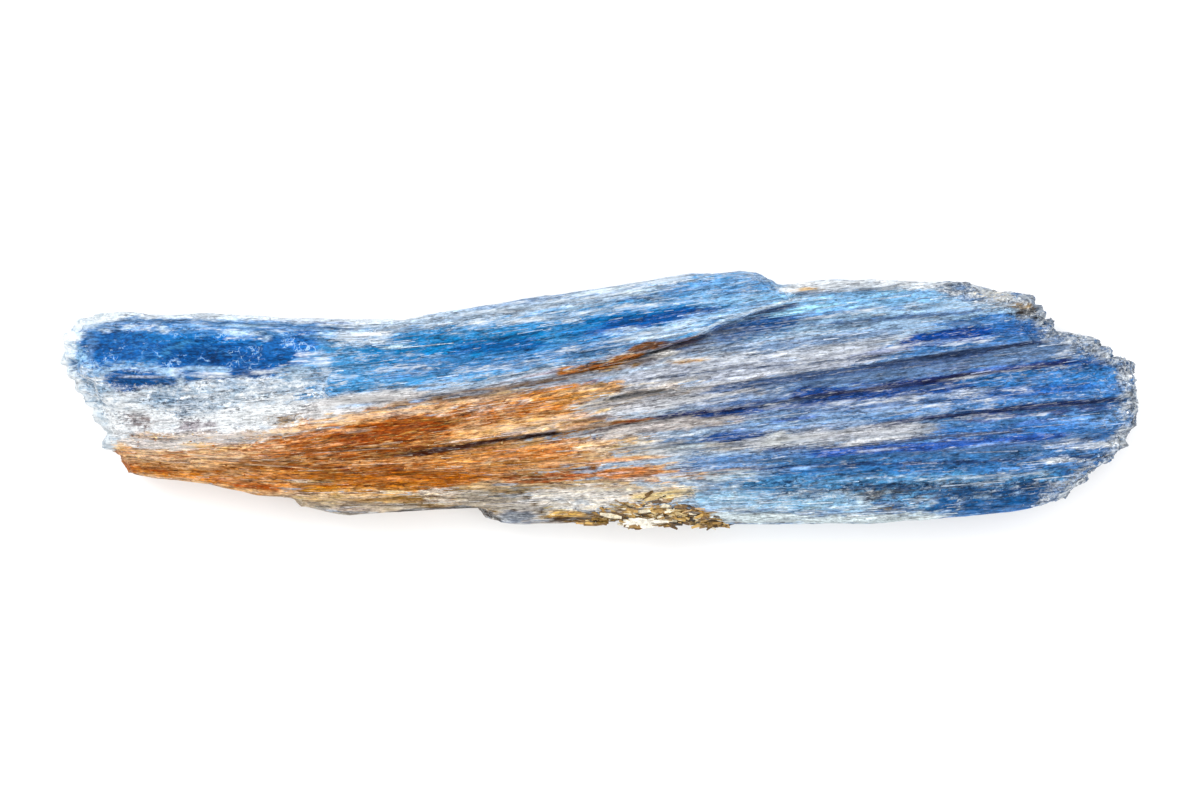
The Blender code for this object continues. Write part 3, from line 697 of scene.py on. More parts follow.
# %% Crust the rust
brush((
    ("#7a3a0c", 2.2, 0.2, ((-38, -5.8), (-24, -4.8), (-8, -3.6))),
    ("#8a6258", 2.0, 0.2, ((-34, -5.4), (-24, -4.6), (-8, -3.6))),
    ("#ecc8a0", 2.2, 0.26, ((-40, -5.6), (-24, -4.8), (-6, -3.4))),
    ("#c87818", 2.0, 0.2, ((-34, -6.6), (-20, -6.6), (-8, -6.0))),
    ("#b86420", 0.5, 0.8, ((-45.6, -4.4), (-44.8, -5.8), (-43.4, -6.8))),
    ("#e6dfdc", 0.6, 0.8, ((-40, -3.4), (-35, -3.7), (-31, -3.3))),
    ("#e9e2de", 0.5, 1.3, ((-44.6, -3.7), (-41, -4.2), (-37.5, -4.1))),
    ("#f2d2b0", 0.5, 0.7, ((-44, -5.1), (-38, -5.3), (-33, -5.1))),
    ("#dba06c", 0.8, 0.8, ((-28.5, -2.6), (-25, -1.6), (-20, -1.1), (-14, -0.5))),
    ("#b8661e", 0.5, 0.6, ((-26, -2.2), (-21, -1.5), (-16, -1.1))),
    ("#8e4206", 1.3, 0.9, ((-25, -3.9), (-20, -3.3), (-14.5, -2.5))),
    ("#a05210", 0.6, 0.6, ((-30, -4.8), (-24, -4.9), (-18, -4.9))),
    ("#b5622a", 0.5, 0.45, ((-41, -5.0), (-35, -4.9), (-30, -3.9))),
    ("#8f4a14", 0.8, 0.4, ((-30, -5.6), (-22, -5.8), (-14, -6.2))),
    ("#7a3c10", 0.7, 0.4, ((-24, -3.2), (-14, -2.2))),
    ("#d8b088", 0.5, 0.4, ((-40, -6.4), (-30, -7.2))),
    ("#c98a2c", 0.8, 0.4, ((-26, -8.1), (-16, -7.9))),
    ("#b87a30", 0.6, 0.4, ((-10, -1.0), (-2, 0.4))),
    ("#f0d4b0", 0.5, 0.35, ((-13, -5.4), (-5, -5.0))),
    ("#e2cfc4", 0.4, 0.7, ((-15, -1.2), (-10, -0.5), (-5, 0.3))),
    ("#dccac2", 0.35, 0.7, ((-9, -3.0), (-3, -1.9), (2, -1.0))),
    ("#7c3a0c", 0.4, 0.6, ((-33, -6.1), (-24, -6.4), (-17, -6.6))),
    ("#401604", 0.26, 1.7, ((-18, -5.15), (-15, -4.6), (-12, -4.15), (-8, -3.5), (-4, -2.9))),
    ("#f0d4b4", 0.6, 0.8, ((-2.6, -4.3), (1.0, -4.4))),
), crumbly_patterns, 0.8)
bleach((
    (2.6, 0.10, ((-44, -5.6), (-34, -5.8), (-24, -5.4), (-10, -5.0))),
    (1.4, 0.02, ((-25, -4), (-20, -3), (-14, -1.8))),
    (0.8, 0.02, ((-28, -7.2), (-14, -7.6))),
    (0.5, 0.65, ((-40, -4.0), (-34, -3.5), (-26, -2.3), (-20, -0.8))),
    (0.4, 0.45, ((-4, -5.6), (6, -4.9))),
    (0.3, 0.45, ((-12, -2.9), (-2, -1.4))),
    (0.25, 0.5, ((-44, -7.2), (-36, -7.6))),
))

# %% [markdown]
# ### Plates along the lower edge
# Thin plates of quartz and weathered kyanite stand out below the blades, grey, beige and cream, and dark
# brown lines of painted shade follow their steps.

# %% Paint the lower plates
brush((
    ("#a29a96", 1.0, 1.4, ((-31, -10.4), (-20, -11.4), (-10, -11.8), (2, -12.2))),
    ("#b5a79a", 1.0, 1.4, ((-30, -9.6), (-20, -10.1), (-11, -10))),
    ("#c4beb7", 1.4, 1.4, ((-13, -10.0), (-6, -10.2), (-2, -10.0))),
    ("#8f8880", 0.5, 0.9, ((-27, -10.2), (-22, -10.7), (-15, -10.4))),
    ("#d3cabf", 0.4, 0.7, ((-24, -9.6), (-16, -9.9))),
    ("#8494a8", 0.2, 0.9, ((-26, -10.2), (-20, -10.4))),
    ("#b9a28c", 0.6, 1.3, ((-14, -8.4), (-7, -8.0), (3, -7.9))),
    ("#dbbd94", 0.4, 1.0, ((-28, -9.0), (-20, -9.1), (-16, -8.9))),
    ("#a98455", 0.2, 0.9, ((-24, -9.3), (-14, -9.2))),
    ("#e6dccc", 0.6, 1.2, ((-17, -8.7), (-12, -9.1), (-9, -9.6))),
    ("#8e847c", 0.5, 0.9, ((-14, -9.8), (-9, -10.2))),
    ("#857b74", 0.35, 0.7, ((-10, -9.6), (-7, -10.4))),
    ("#cfcac6", 0.5, 0.9, ((-9.5, -10.6), (-6, -10.7))),
    ("#868e9c", 0.35, 0.9, ((-10, -11.4), (-6, -11.3))),
    ("#f0ebe4", 1.1, 1.4, ((-6.5, -9.0), (-2, -9.2), (3, -9.2))),
    ("#d0c8bd", 0.6, 0.8, ((-6, -10.4), (-1, -10.4))),
    ("#ead79c", 0.35, 0.8, ((-5.0, -10.0), (-2.4, -9.9))),
    ("#e4dac6", 0.8, 1.1, ((0, -8.7), (9, -8.5))),
    ("#e0cf9c", 0.3, 0.7, ((3, -8.9), (8, -8.8))),
    ("#7a5f3c", 0.35, 1.0, ((-17, -9.8), (-12, -10.0), (-9, -10.7))),
    # The darkest brown lines from here on follow the plates' steps and are painted shade.
    ("#3f2c1e", 0.2, 1.3, ((-19, -10.3), (-12, -10.4), (-8.5, -11.2))),
    ("#5b4636", 0.14, 1.1, ((-13.5, -8.2), (-10.5, -8.9), (-7.5, -10.4))),
    ("#7d7268", 0.16, 1.0, ((-25, -9.8), (-17, -9.7))),
    ("#6b584a", 0.15, 1.1, ((-7.6, -8.2), (-6.0, -9.6), (-4.8, -10.9))),
    ("#54422f", 0.16, 1.0, ((-5, -11.0), (-1, -10.6), (1, -10.1))),
    ("#8a6a3c", 0.3, 0.9, ((-5.5, -10.9), (0, -11.3))),
    ("#6d5230", 0.9, 1.2, ((0, -10.9), (4, -10.6), (11, -11.2))),
    ("#2f2212", 0.4, 0.9, ((1, -10.8), (6, -11.0), (11, -11.4))),
    ("#7a5c34", 0.8, 1.6, ((-0.5, -11.9), (4, -12.2), (11.5, -12.0))),
    ("#b98a48", 0.4, 0.9, ((1.5, -9.8), (5, -9.7))),
    ("#a07a40", 0.4, 1.0, ((7.0, -10.4), (10, -10.6), (13, -11.3))),
))

# %% [markdown]
# ### Steps between the plates
# Each plate ends in a broken step. Its top has rounded pale patches, and dark brown lines of painted shade
# lie in the crack below.

# %% Paint the plates' steps
brush((
    ("#b7aaa0", 0.5, 1.0, ((-25, -9.9), (-20, -10.1))),
    ("#e2d6c4", 0.6, 1.3, ((-16.8, -8.7), (-13.6, -9.2))),
    ("#b9b0a7", 0.9, 1.2, ((-12.6, -9.0), (-8.4, -9.6))),
    ("#7e8590", 0.5, 1.2, ((-9.4, -10.9), (-6.2, -10.8))),
    ("#ece7de", 1.0, 1.4, ((-6.2, -8.9), (-3, -9.2), (2.5, -9.0))),
    ("#b4bcc4", 0.4, 0.6, ((-4.5, -9.2), (-1, -9.5))),
    # Dark brown lines of painted shade in the steps' cracks.
    ("#2e2014", 0.26, 1.4, ((-18.5, -10.3), (-15, -10.3), (-12.6, -9.95), (-10.8, -10.5), (-9.2, -11.1))),
    ("#54402c", 0.2, 1.4, ((-8.4, -8.0), (-6.8, -8.8), (-5.8, -10.0), (-5.0, -10.9))),
    ("#c9a45c", 0.25, 1.2, ((-4.6, -10.5), (-1.5, -10.6))),
    ("#463422", 0.2, 1.3, ((-4.8, -11.1), (-1.0, -11.0), (1, -10.6))),
    ("#984608", 0.38, 1.4, ((-8.6, -7.3), (-5, -7.2), (-1.6, -6.8))),
    ("#b45c0e", 0.3, 1.2, ((-0.5, -6.9), (4, -6.8))),
), crumbly_patterns, 0.8)
bleach((
    (1.0, 0.3, ((-28, -9.9), (-12, -10))),
    (0.9, 0.4, ((-5, -8.8), (8, -8.4))),
))

# %% [markdown]
# ### The overlying blade
# One broad blade lies over the others from the middle to the upper edge. Its heart is clear blue between pale
# strips, rust has caught under its lower edge, and a grey strip of painted shade lies below that edge. It is
# laid over the window's end, where a pale crack across the fibres parts the two.

# %% Paint the overlying blade
brush((
    ("#408cc4", 2.7, 1.3, ((-27.5, 2.4), (-16, 4.2), (-6, 5.4), (4, 7.6), (14, 9.6))),
    ("#b5c9dd", 0.9, 0.7, ((-25, 5.8), (-19, 5.7))),
    ("#5598cf", 0.8, 0.8, ((-25, 2.6), (-17.5, 3.0))),
    ("#0876b4", 1.4, 1.2, ((-22, 4.3), (-12, 4.9), (-8, 5.2), (-4.2, 5.9))),
    ("#045ca0", 0.6, 0.85, ((-14, 4.9), (-5, 5.3))),
    ("#0068a8", 1.2, 1.2, ((-3, 6.1), (4, 7.4), (9, 8.4))),
    ("#3a7ab4", 0.8, 0.9, ((-19, 3), (-10, 3.5), (-2, 4.8), (4, 5.9))),
    ("#004c94", 0.6, 1.8, ((-1, 6.4), (5, 7.5), (11, 8.7))),
    ("#42709f", 0.7, 0.9, ((-4, 4.3), (2, 5.2), (8, 6.6))),
    ("#aec4da", 0.7, 0.9, ((-20, 7.3), (-10, 8.4), (0, 9.8), (8, 11.1))),
    ("#7f9cc0", 0.3, 0.8, ((-14, 8.4), (-4, 9.6), (4, 10.6))),
    ("#4f6f9a", 0.14, 0.9, ((-2, 8.7), (4, 9.7), (13, 10.9))),
    ("#c3d3e2", 0.35, 0.7, ((-14, 7.2), (-4, 7.8), (-2, 7.3))),
    ("#76acda", 1.1, 1.3, ((8, 9.6), (14, 10.0), (18.5, 9.7))),
    ("#5590c8", 0.7, 0.8, ((4, 9.9), (10, 10.6), (16, 10.6))),
    ("#8fbce4", 0.55, 0.9, ((2, 5.6), (8, 7.1), (14, 8.5))),
    # The grey strip below the blade's lower edge is painted shade.
    ("#9a9aa4", 0.6, 0.8, ((-16, 0.3), (-4, 1.9), (3, 3.2), (6, 4.0))),
    ("#7c8ba2", 0.6, 0.9, ((5, 4.2), (10, 5.2), (14, 6.0))),
    ("#7d6a62", 0.2, 0.8, ((-20, -0.4), (-8, 1.4), (-2, 2.3))),
    ("#cfcccc", 0.9, 1.2, ((-28, -1.1), (-22, -0.2), (-16, 0.4))),
    ("#b09a94", 0.5, 1.2, ((-20, -0.7), (-14, 0.1), (-8, 0.9))),
    ("#c98c58", 0.4, 1.0, ((-22, -1.1), (-16, -0.5), (-8, 0.4))),
))
brush((
    ("#9db8d0", 0.9, 1.2, ((-28.6, 2.5), (-26.6, 2.3))),
    ("#1260aa", 0.8, 1.8, ((-31.0, 5.0), (-26.4, 5.4))),
    ("#e0b890", 0.5, 0.8, ((-26, -1.9), (-20, -1.2), (-14, -0.5), (-8, 0.3))),
    ("#c07a3c", 0.3, 0.6, ((-24, -2.0), (-16, -1.0), (-8, 0.0))),
), crumbly_patterns, 0.8)
crack("#d0e0ee", 0.5, ((-25.9, 4.3), (-25.4, 2.9), (-26.0, 0.9)))
bleach((
    (1.3, 0.05, ((-18, 4.7), (-8, 5.2), (2, 6.8), (9, 8.4))),
    (0.5, 0.5, ((-25.6, 3.6), (-24.6, 2.0))),
    (0.5, 0.45, ((-25, 6.0), (-19, 5.9))),
    (0.22, 0.65, ((-24, 2.3), (-20, 2.9), (-16.8, 3.4))),
    (0.5, 0.45, ((-20, 7.6), (-10, 8.6), (0, 10.0), (8, 11.3))),
    (0.3, 0.5, ((-14, 7.0), (-4, 7.7), (2, 8.6), (10, 9.3))),
    (0.25, 0.45, ((-4, 4.6), (2, 5.8), (8, 7.0))),
    (0.25, 0.55, ((-14, 2.6), (-6, 3.6))),
    (0.3, 0.5, ((-20, 4.0), (-15, 4.3))),
    (0.3, 0.45, ((-8, 6.3), (-4, 6.6))),
))

# %% [markdown]
# ### The fan of blades
# Towards the right the blades spread like a hand of cards. Each one is a band of its own blue. The upper
# ones are pale, sky blue at the edge and then grey and lilac.

# %% Paint the fan's upper blades
brush((
    ("#d5dce3", 0.7, 1.0, ((17, 10.5), (24, 10.9), (33, 10.7))),
    ("#b8a490", 0.3, 0.6, ((19, 10.3), (20, 10.3))),
    ("#e0d29a", 0.35, 0.7, ((32.5, 10.3), (33.5, 10.3))),
    ("#7cb2de", 0.8, 1.1, ((17, 8.9), (26, 9.5), (34, 9.6))),
    ("#64a0d8", 0.5, 0.6, ((19, 7.9), (24, 8.1))),
    ("#90b2d0", 1.0, 1.1, ((10, 6.0), (20, 6.9), (26, 7.6), (34, 8.6), (40, 9.2))),
    ("#4a72a6", 0.3, 0.6, ((14, 6.9), (24, 7.5), (34, 8.2))),
    ("#8aa8c6", 1.1, 1.1, ((12, 4.6), (24, 5.9), (32, 7.1))),
    ("#aeb5c4", 1.5, 1.1, ((1, 1.6), (10, 2.9), (18, 3.7), (27, 4.9))),
    ("#8893a8", 0.4, 0.6, ((6, 2.6), (14, 3.7), (20, 4.6))),
    ("#6a84a6", 0.6, 1.1, ((12, 4.7), (20, 5.4), (28, 6.3))),
    ("#b0b2b8", 1.0, 1.1, ((-2, -0.8), (10, 0.8), (20, 1.8))),
    ("#a39a94", 0.35, 0.8, ((-2, -0.5), (8, 0.8), (16, 1.8))),
    ("#aba4a2", 0.9, 1.1, ((-1, -2.8), (6, -2.0), (14, -1.2))),
    ("#ccc8c2", 0.9, 0.8, ((2, -4.4), (12, -3.9), (18, -3.6))),
))

# %% [markdown]
# ### Deep blue ribs
# The middle of the fan has the deepest blues, and the thin navy and nearly black lines in the grooves between
# its ribs are painted shade.

# %% Paint the fan's middle ribs
brush((
    ("#003e8c", 0.55, 1.6, ((27.9, 5.4), (32, 6.0), (36.8, 6.6))),
    ("#2a62a6", 0.6, 1.0, ((36, 6.7), (43, 6.6))),
    ("#58769e", 1.0, 1.2, ((15, 1.3), (28, 2.7), (36, 4.2), (45, 5.1))),
    ("#7086a8", 0.4, 0.6, ((24, 2.9), (34, 4.4), (40, 5.2))),
    # The thin dark lines here and below are painted shade in the grooves between the ribs.
    ("#2e4268", 0.24, 1.0, ((10, 1.2), (18, 2.2), (26, 3.4), (34, 4.6), (42, 5.6))),
    ("#6e88ae", 1.0, 1.1, ((8, -0.6), (16, -0.2), (26, 0.3), (34, 0.9), (42, 1.5))),
    ("#3f6498", 0.4, 0.7, ((18, -0.9), (26, -0.4), (36, 0.4))),
    ("#084088", 0.8, 1.5, ((18, 0.3), (28, 1.1), (34, 1.8), (40, 2.7), (48, 3.1))),
    ("#2f74b6", 1.0, 1.1, ((34, 1.8), (42, 2.3), (50, 2.5))),
    ("#4c3a3c", 0.15, 1.0, ((-1.6, -3.2), (1, -2.5), (4, -1.7), (8, -1.1))),
    ("#162a66", 0.28, 1.2, ((5, -1.6), (10, -0.9), (16, -0.1), (24, 1), (34, 2.5), (44, 3.7))),
    ("#241f22", 0.2, 1.0, ((33, 2.5), (36, 2.7))),
    ("#1f5aa2", 0.5, 1.0, ((36, 0.8), (46, 1.4))),
    ("#9aa2ae", 0.7, 1.0, ((12, -4.0), (22, -3.4), (28, -2.9), (34, -2.4))),
    ("#7f8ea6", 0.3, 0.7, ((14, -2.9), (24, -2.2), (30, -1.9))),
    ("#5488c0", 1.0, 1.1, ((31, -2.1), (40, -1.8), (50, -1.3))),
    ("#6c7d98", 0.14, 0.9, ((17, -3.0), (26, -2.1))),
    ("#182c5c", 0.26, 1.2, ((24.4, -2.3), (26, -2.1), (34, -1.2), (42, -0.3), (50, 0.2))),
    ("#3c5088", 0.35, 0.7, ((34, -1.8), (42, -0.9), (48, -0.5))),
    ("#6483aa", 0.4, 1.0, ((5.5, -3.8), (10, -3.5))),
    ("#1c4684", 0.42, 1.5, ((9.4, -3.45), (15.2, -3.15))),
    ("#8d8f94", 0.2, 0.8, ((2, -4.4), (8, -3.7))),
))

# %% [markdown]
# ### The fan's lower blades
# Below the last deep rib the colour turns to teal and then to a pale sky blue along the lower edge.

# %% Paint the fan's lower blades
brush((
    ("#557fb2", 0.8, 1.1, ((8, -6.0), (20, -5), (30, -4.5), (40, -4), (47, -3.5))),
    ("#24509e", 0.45, 1.1, ((19, -5.0), (28, -4.4), (36, -3.75), (43, -3.2))),
    ("#3a78c0", 0.6, 0.9, ((31, -3.1), (45, -2.3))),
    ("#3f78b0", 0.6, 1.0, ((16, -5.9), (26, -5.6), (36, -5.3), (44, -4.9))),
    ("#2f6aa4", 0.9, 1.1, ((16, -7), (26, -6.7), (36, -6.2), (46, -5.7))),
    ("#a8bcc9", 0.6, 0.9, ((8, -7.2), (15, -6.8))),
    ("#4a8cbe", 1.0, 1.2, ((12, -8), (24, -7.9), (32, -7.9), (44, -7.4))),
    ("#10406c", 0.5, 0.50, ((20, -8.3), (30, -8.3), (43, -7.8))),
    ("#86b2d2", 1.0, 1.2, ((9, -9.3), (20, -9.3), (30, -9.3))),
    ("#084c84", 1.0, 1.4, ((26, -9.5), (36, -9.2), (44, -8.4))),
    ("#0a3c70", 0.5, 0.6, ((33, -8.7), (42, -8.2))),
    ("#c8d6da", 0.5, 1.1, ((10, -10.9), (24, -11.1), (32, -10.8))),
))

# %% [markdown]
# ### Lips and grooves
# A thin dark stroke of painted shade lies in each groove and a pale one of painted highlight on its lip, so
# that the step reads from above. So thin strokes follow the borders of the bands.

# %% Draw the fan's lips and grooves
brush((
    ("#9aa0a6", 1.0, 0.6, ((38, 9.6), (42, 7.6))),
    ("#b4bfd2", 0.5, 0.3, ((18, -0.1), (28, 0.5), (37, 1.0))),
    ("#cdd0d8", 0.5, 0.8, ((14, -3.6), (22, -3.0), (30, -2.3))),
    ("#c4ccd8", 0.4, 0.7, ((8, 3.6), (18, 4.6), (28, 5.6))),
    ("#3f4f6c", 0.14, 1.0, ((4, 1.9), (12, 2.9), (20, 3.5), (27, 4.3))),
    ("#46567a", 0.18, 1.0, ((14, -4.6), (22, -4.2), (32, -3.3), (40, -2.7))),
    ("#20406f", 0.18, 1.0, ((14, -6.3), (24, -5.9), (36, -5.6), (46, -5.2))),
    ("#4c6890", 0.16, 1.0, ((20, 7.0), (28, 7.7), (36, 8.5))),
    ("#44659a", 0.12, 1.0, ((12, -0.2), (22, 0.6), (32, 1.4))),
    ("#cfc8bd", 0.45, 0.8, ((0, 0.9), (6, 1.5), (10, 2.2))),
    ("#46608c", 0.35, 1.1, ((10, 0.9), (16, 1.8), (22, 2.6), (28, 3.3), (36, 4.4))),
    ("#1a4a96", 0.3, 1.3, ((9, -1.3), (15.5, -0.65), (22, 0.35), (28, 0.95))),
    ("#1c2450", 0.2, 1.8, (
        (5, -1.65), (11, -0.8), (15.5, -0.3), (19.3, 0.3), (22.8, 0.85), (28, 1.4), (34, 2.4),
    )),
    ("#7c3a12", 0.18, 1.2, ((-2, -2.6), (2, -1.95), (5, -1.6))),
    ("#c4763a", 0.5, 1.0, ((0, -6.9), (4, -6.8), (6.6, -6.5))),
    ("#d0a486", 0.5, 0.7, ((4, -7.2), (10, -6.9))),
    ("#b09684", 0.2, 0.8, ((5.5, 3.6), (9.8, 3.8))),
))

# %% [markdown]
# ### Speckles on the fan
# Broken scales, chips of another mineral and the painted shade under the overlying blade's tip and lower edge
# break the bands across, so they are laid in patches. The tip's pale edge and a dark line of painted shade
# along it are drawn last.

# %% Speckle the fan
brush((
    ("#dbe8ee", 1.3, 0.38, ((10, -9.2), (24, -9.2), (34, -9.3))),
    ("#74b0da", 1.0, 0.3, ((12, -9.2), (24, -9.2), (32, -9.2))),
    ("#2b6296", 1.2, 0.35, ((14, -8.6), (26, -9.0), (40, -8.6))),
    ("#173f68", 0.7, 0.5, ((13, -8.0), (22, -8.0), (32, -8.0), (43, -7.6))),
    ("#e8f0f4", 0.9, 0.17, ((22, -7.9), (32, -7.7), (43, -7.2))),
    ("#0c3c68", 0.9, 0.5, ((24, -8.4), (34, -8.3), (43, -7.8))),
    ("#d8dcdc", 0.6, 1.2, ((15.4, -3.7), (17.6, -3.4))),
    ("#4a4f52", 0.6, 0.45, ((24, -8.8), (28.5, -8.6))),
    ("#7a6f58", 0.3, 0.5, ((26, -10.2), (28, -9.8))),
    ("#c0d8ea", 0.3, 0.35, ((24, -7.4), (34, -7.2), (42, -6.8))),
    ("#b4cfe4", 0.4, 0.25, ((34, -9.0), (43, -8.4))),
    # Painted shade under the overlying blade's tip: the deep blue bands below it.
    ("#3f6ea2", 0.9, 1.0, ((11, 5.7), (14, 6.6), (18.4, 7.6))),
    ("#255590", 0.85, 1.6, ((10.4, 6.4), (14, 7.2), (18.6, 8.0))),
    # A dark grey strip of painted shade below the overlying blade's lower edge.
    ("#4a4a52", 0.35, 0.9, ((2.5, 4.3), (6, 4.7), (9.5, 5.6))),
    ("#b0957a", 0.4, 0.6, ((-2, 2.6), (4, 3.6))),
    ("#f0eee8", 0.4, 0.9, ((5.0, 4.3), (7.0, 4.5))),
    ("#a8622a", 0.45, 0.9, ((-4, 2.6), (0, 3.3), (3.4, 4.3), (4.4, 5.0))),
    ("#6e4630", 0.35, 1.0, ((2.6, 4.5), (4.4, 5.2), (6.6, 5.1), (9.5, 5.9))),
    # A near-black line of painted shade just below the blade's lower edge. The orange and brown lines beside
    # it are rust.
    ("#3a2820", 0.2, 0.8, ((-2, 3.0), (3.0, 4.4), (4.4, 5.0), (8, 5.5))),
    ("#b8a69a", 0.5, 0.6, ((-2, -3.6), (4, -2.9))),
    ("#d8cfc8", 0.4, 0.6, ((0, 0.4), (8, 1.6))),
    ("#e0a868", 0.6, 1.2, ((-2, 0.7), (0, 1.1), (2, 1.5))),
), crumbly_patterns, 0.8)
brush((
    # A dark line of painted shade along the tip's lower edge, then the tip's pale edge.
    ("#3c5378", 0.2, 1.2, ((9.0, 5.8), (10.8, 6.4), (12, 7.2), (16, 8.4), (18.4, 9.0))),
    ("#c4d6e6", 0.15, 1.0, ((2, 5.7), (6, 6.0), (10, 6.8), (12, 7.7), (16, 8.9), (18.2, 9.5))),
    ("#b8cfe6", 0.35, 0.7, ((0.5, 6.4), (5, 6.5), (9, 7.3))),
), needles=1.0)

# %% [markdown]
# ### White fibres of the fan
# Crushed white fibres sit along the lips of the grooves and are missing from the clear deep blues.

# %% Bleach the fan
bleach((
    (0.5, 0.5, ((17, 10.5), (24, 10.9), (33, 10.7))),
    (0.2, 0.6, ((19, 7.6), (24, 8.3), (30, 9.1))),
    (1.2, 0.30, ((3, 2.2), (10, 3.2), (18, 4.0), (25, 5.0))),
    (0.25, 0.6, ((26.8, 4.9), (33, 5.3), (37, 6.0))),
    (0.3, 0.6, ((26.9, 5.5), (27.3, 6.0))),
    (0.9, 0.06, ((20, 2.0), (28, 2.9), (36, 4.2), (43, 4.9))),
    (0.16, 0.6, ((32, 1.9), (36, 2.4))),
    (0.18, 0.6, ((37, 2.8), (44, 3.3))),
    (0.3, 0.4, ((14, -0.7), (24, -0.1), (34, 0.5), (40, 1.0))),
    (0.2, 0.5, ((24, -0.9), (32, -0.3), (38, 0.2))),
    (0.35, 0.5, ((14, -3.8), (26, -2.9), (31, -2.5))),
    (0.25, 0.4, ((33, -1.6), (42, -1.2))),
    (0.8, 0.10, ((28, -4.6), (38, -3.7), (45, -3.2))),
    (0.8, 0.08, ((18, -6.9), (26, -6.6), (36, -6.1), (44, -5.7))),
    (0.2, 0.5, ((24, -7.3), (34, -7.2), (42, -6.7))),
    (0.5, 0.4, ((12, -8.7), (20, -8.6), (27, -8.7))),
    (0.16, 0.6, ((30, -9.1), (36, -8.8))),
    (0.4, 0.45, ((8, -7.4), (16, -7.0))),
    (0.4, 0.5, ((43, -3.6), (47.5, -4.4))),
    (1.0, 0.03, ((29, -9.5), (42, -8.7))),
))

# %% [markdown]
# ### The broken rims
# Both ends are broken across, and a broken rim scatters light. The left one is pale and frosted. The right
# one is older, so grey and nearly black grains sit between the white ones.

# %% Paint the rims
for rim, code, share in (
    (left_rim, "#bfd2e0", 0.8), (left_rim, "#e6edf2", 0.4), (left_rim, "#8fa9c0", 0.3),
    (right_rim, "#6c7f98", 0.75), (right_rim, "#2c3850", 0.28), (right_rim, "#5b83b4", 0.25),
    (right_rim, "#dfe7ed", 0.3),
):
    lay(code, [share * 1.2 * rim] * COATS, crumbly_patterns)
brush((
    ("#2e3138", 0.6, 0.55, ((36.4, 8.7), (41, 8.0))),
    ("#8c7a66", 0.35, 0.8, ((37.8, 9.0), (40.6, 8.7))),
    ("#e8e6dc", 0.4, 0.6, ((34.5, 10.0), (38.5, 9.7))),
    ("#27344c", 0.5, 0.5, ((42.5, -4.7), (49, -5.0))),
    ("#27344c", 0.35, 0.5, ((40.5, -6.2), (47, -6.4))),
    ("#eef2f4", 0.3, 0.8, ((41.5, -4.1), (49, -4.1))),
    ("#e2e9ee", 0.25, 0.7, ((41, -5.5), (47.5, -5.7))),
    ("#2b3444", 0.9, 0.4, ((45.5, -1.6), (51, -2.2))),
    ("#39475e", 0.5, 0.4, ((44, 5.0), (49.5, 3.2))),
    ("#4a3c32", 0.2, 0.9, ((38.8, 8.3), (40.6, 8.1))),
), needles=0.8)
whiteness += (0.6 - whiteness) * left_rim
whiteness += (0.34 - whiteness) * right_rim

# %% [markdown]
# ### Single needles
# Real blades are never quite regular. Short needles, each paler or darker than what is under it, are laid
# at random along the fibres. They keep off the window and the broken places, which have no long fibres.

# %% Scatter single needles
def scatter_needles(count):
    """Lays short single needles along the fibres, each paler or darker than what is under it."""
    choose = random.Random(5)
    whole = (1 - broken) * (1 - glassy)
    for _ in range(count):
        x, y, run = choose.uniform(-48, 49), choose.uniform(-11, 11), choose.uniform(1.2, 5.0)
        around = np.flatnonzero((np.abs(places[:, 0] - x) < run) & (np.abs(places[:, 1] - y) < 1.5))
        pale, strength, half = choose.random() < 0.5, choose.uniform(0.25, 0.7), choose.uniform(0.08, 0.18)
        if not len(around):
            continue
        rise = 0.5 * run * float(slope_at(np.array([x]), np.array([y]))[0])
        line = ((x - run / 2, y - rise), (x + run / 2, y + rise))
        amount = inside(places[around], line, half, 0.0, run / 3)
        under = tints[0][around[amount.argmax()]]
        wanted = np.minimum(1.6 * under + 0.05, 1) if pale else 0.5 * under
        share = (strength * amount * whole[around])[:, None]
        for tint in tints:
            tint[around] += (wanted - tint[around]) * share
    print(count, "needles laid")


scatter_needles(900)

# %% [markdown]
# ## Attributes for the materials
# A material can't follow bent fibres by itself, so each point carries its colour, where it lies in the
# fibres, how broken, how glassy and how white it is. It carries two colours, one for each coat, because
# the material can choose between them more finely than points can. The same ones go on every splinter and
# crumb, and one material then fits them all.

# %% Write the attributes
def carry(mesh, tints, grain, frost, clear, white):
    """Stores what the kyanite material reads on each point of a mesh."""
    for name, tint in zip(("tint", "other_tint"), tints):
        painted = np.column_stack((np.clip(tint, 0, 1), np.ones(len(tint)))).astype(np.float32)
        mesh.attributes.new(name, "FLOAT_COLOR", "POINT").data.foreach_set("color", painted.ravel())
    fibres = grain.astype(np.float32).ravel()
    mesh.attributes.new("grain", "FLOAT_VECTOR", "POINT").data.foreach_set("vector", fibres)
    for name, values in (("frost", frost), ("clear", clear), ("white", white)):
        mesh.attributes.new(name, "FLOAT", "POINT").data.foreach_set("value", values.astype(np.float32))


carry(skin, tints, grain, broken, glassy, np.clip(whiteness, 0, 1))
print("mean colour of the skin:", tints[0].mean(axis=0).round(3))

# %% [markdown]
# ## The kyanite material
# Kyanite is a clear silicate of refractive index 1.72, so fresh faces are glassy and broken ones scatter
# white light. What the eye reads as streaks are the edges of laths a tenth of a millimetre wide. They are
# drawn here at about 0.15 mm, as fine as a render can show, by noise stretched along the combed fibres.
# Some sockets go by number: Math and Vector Math take 0 and 1. Mix takes a share in 0, and numbers in 2 and
# 3 or colours in 6 and 7. Map Range takes a value in 0, turns the range from 1 to 2 into the range from 3
# to 4, and clamps it.

# %% Add nodes and start materials
TIMES = {"operation": "MULTIPLY"}
PLUS = {"operation": "ADD"}
RGBA = {"out": 2, "data_type": "RGBA"}
DARKEN = {**RGBA, "blend_type": "MULTIPLY"}


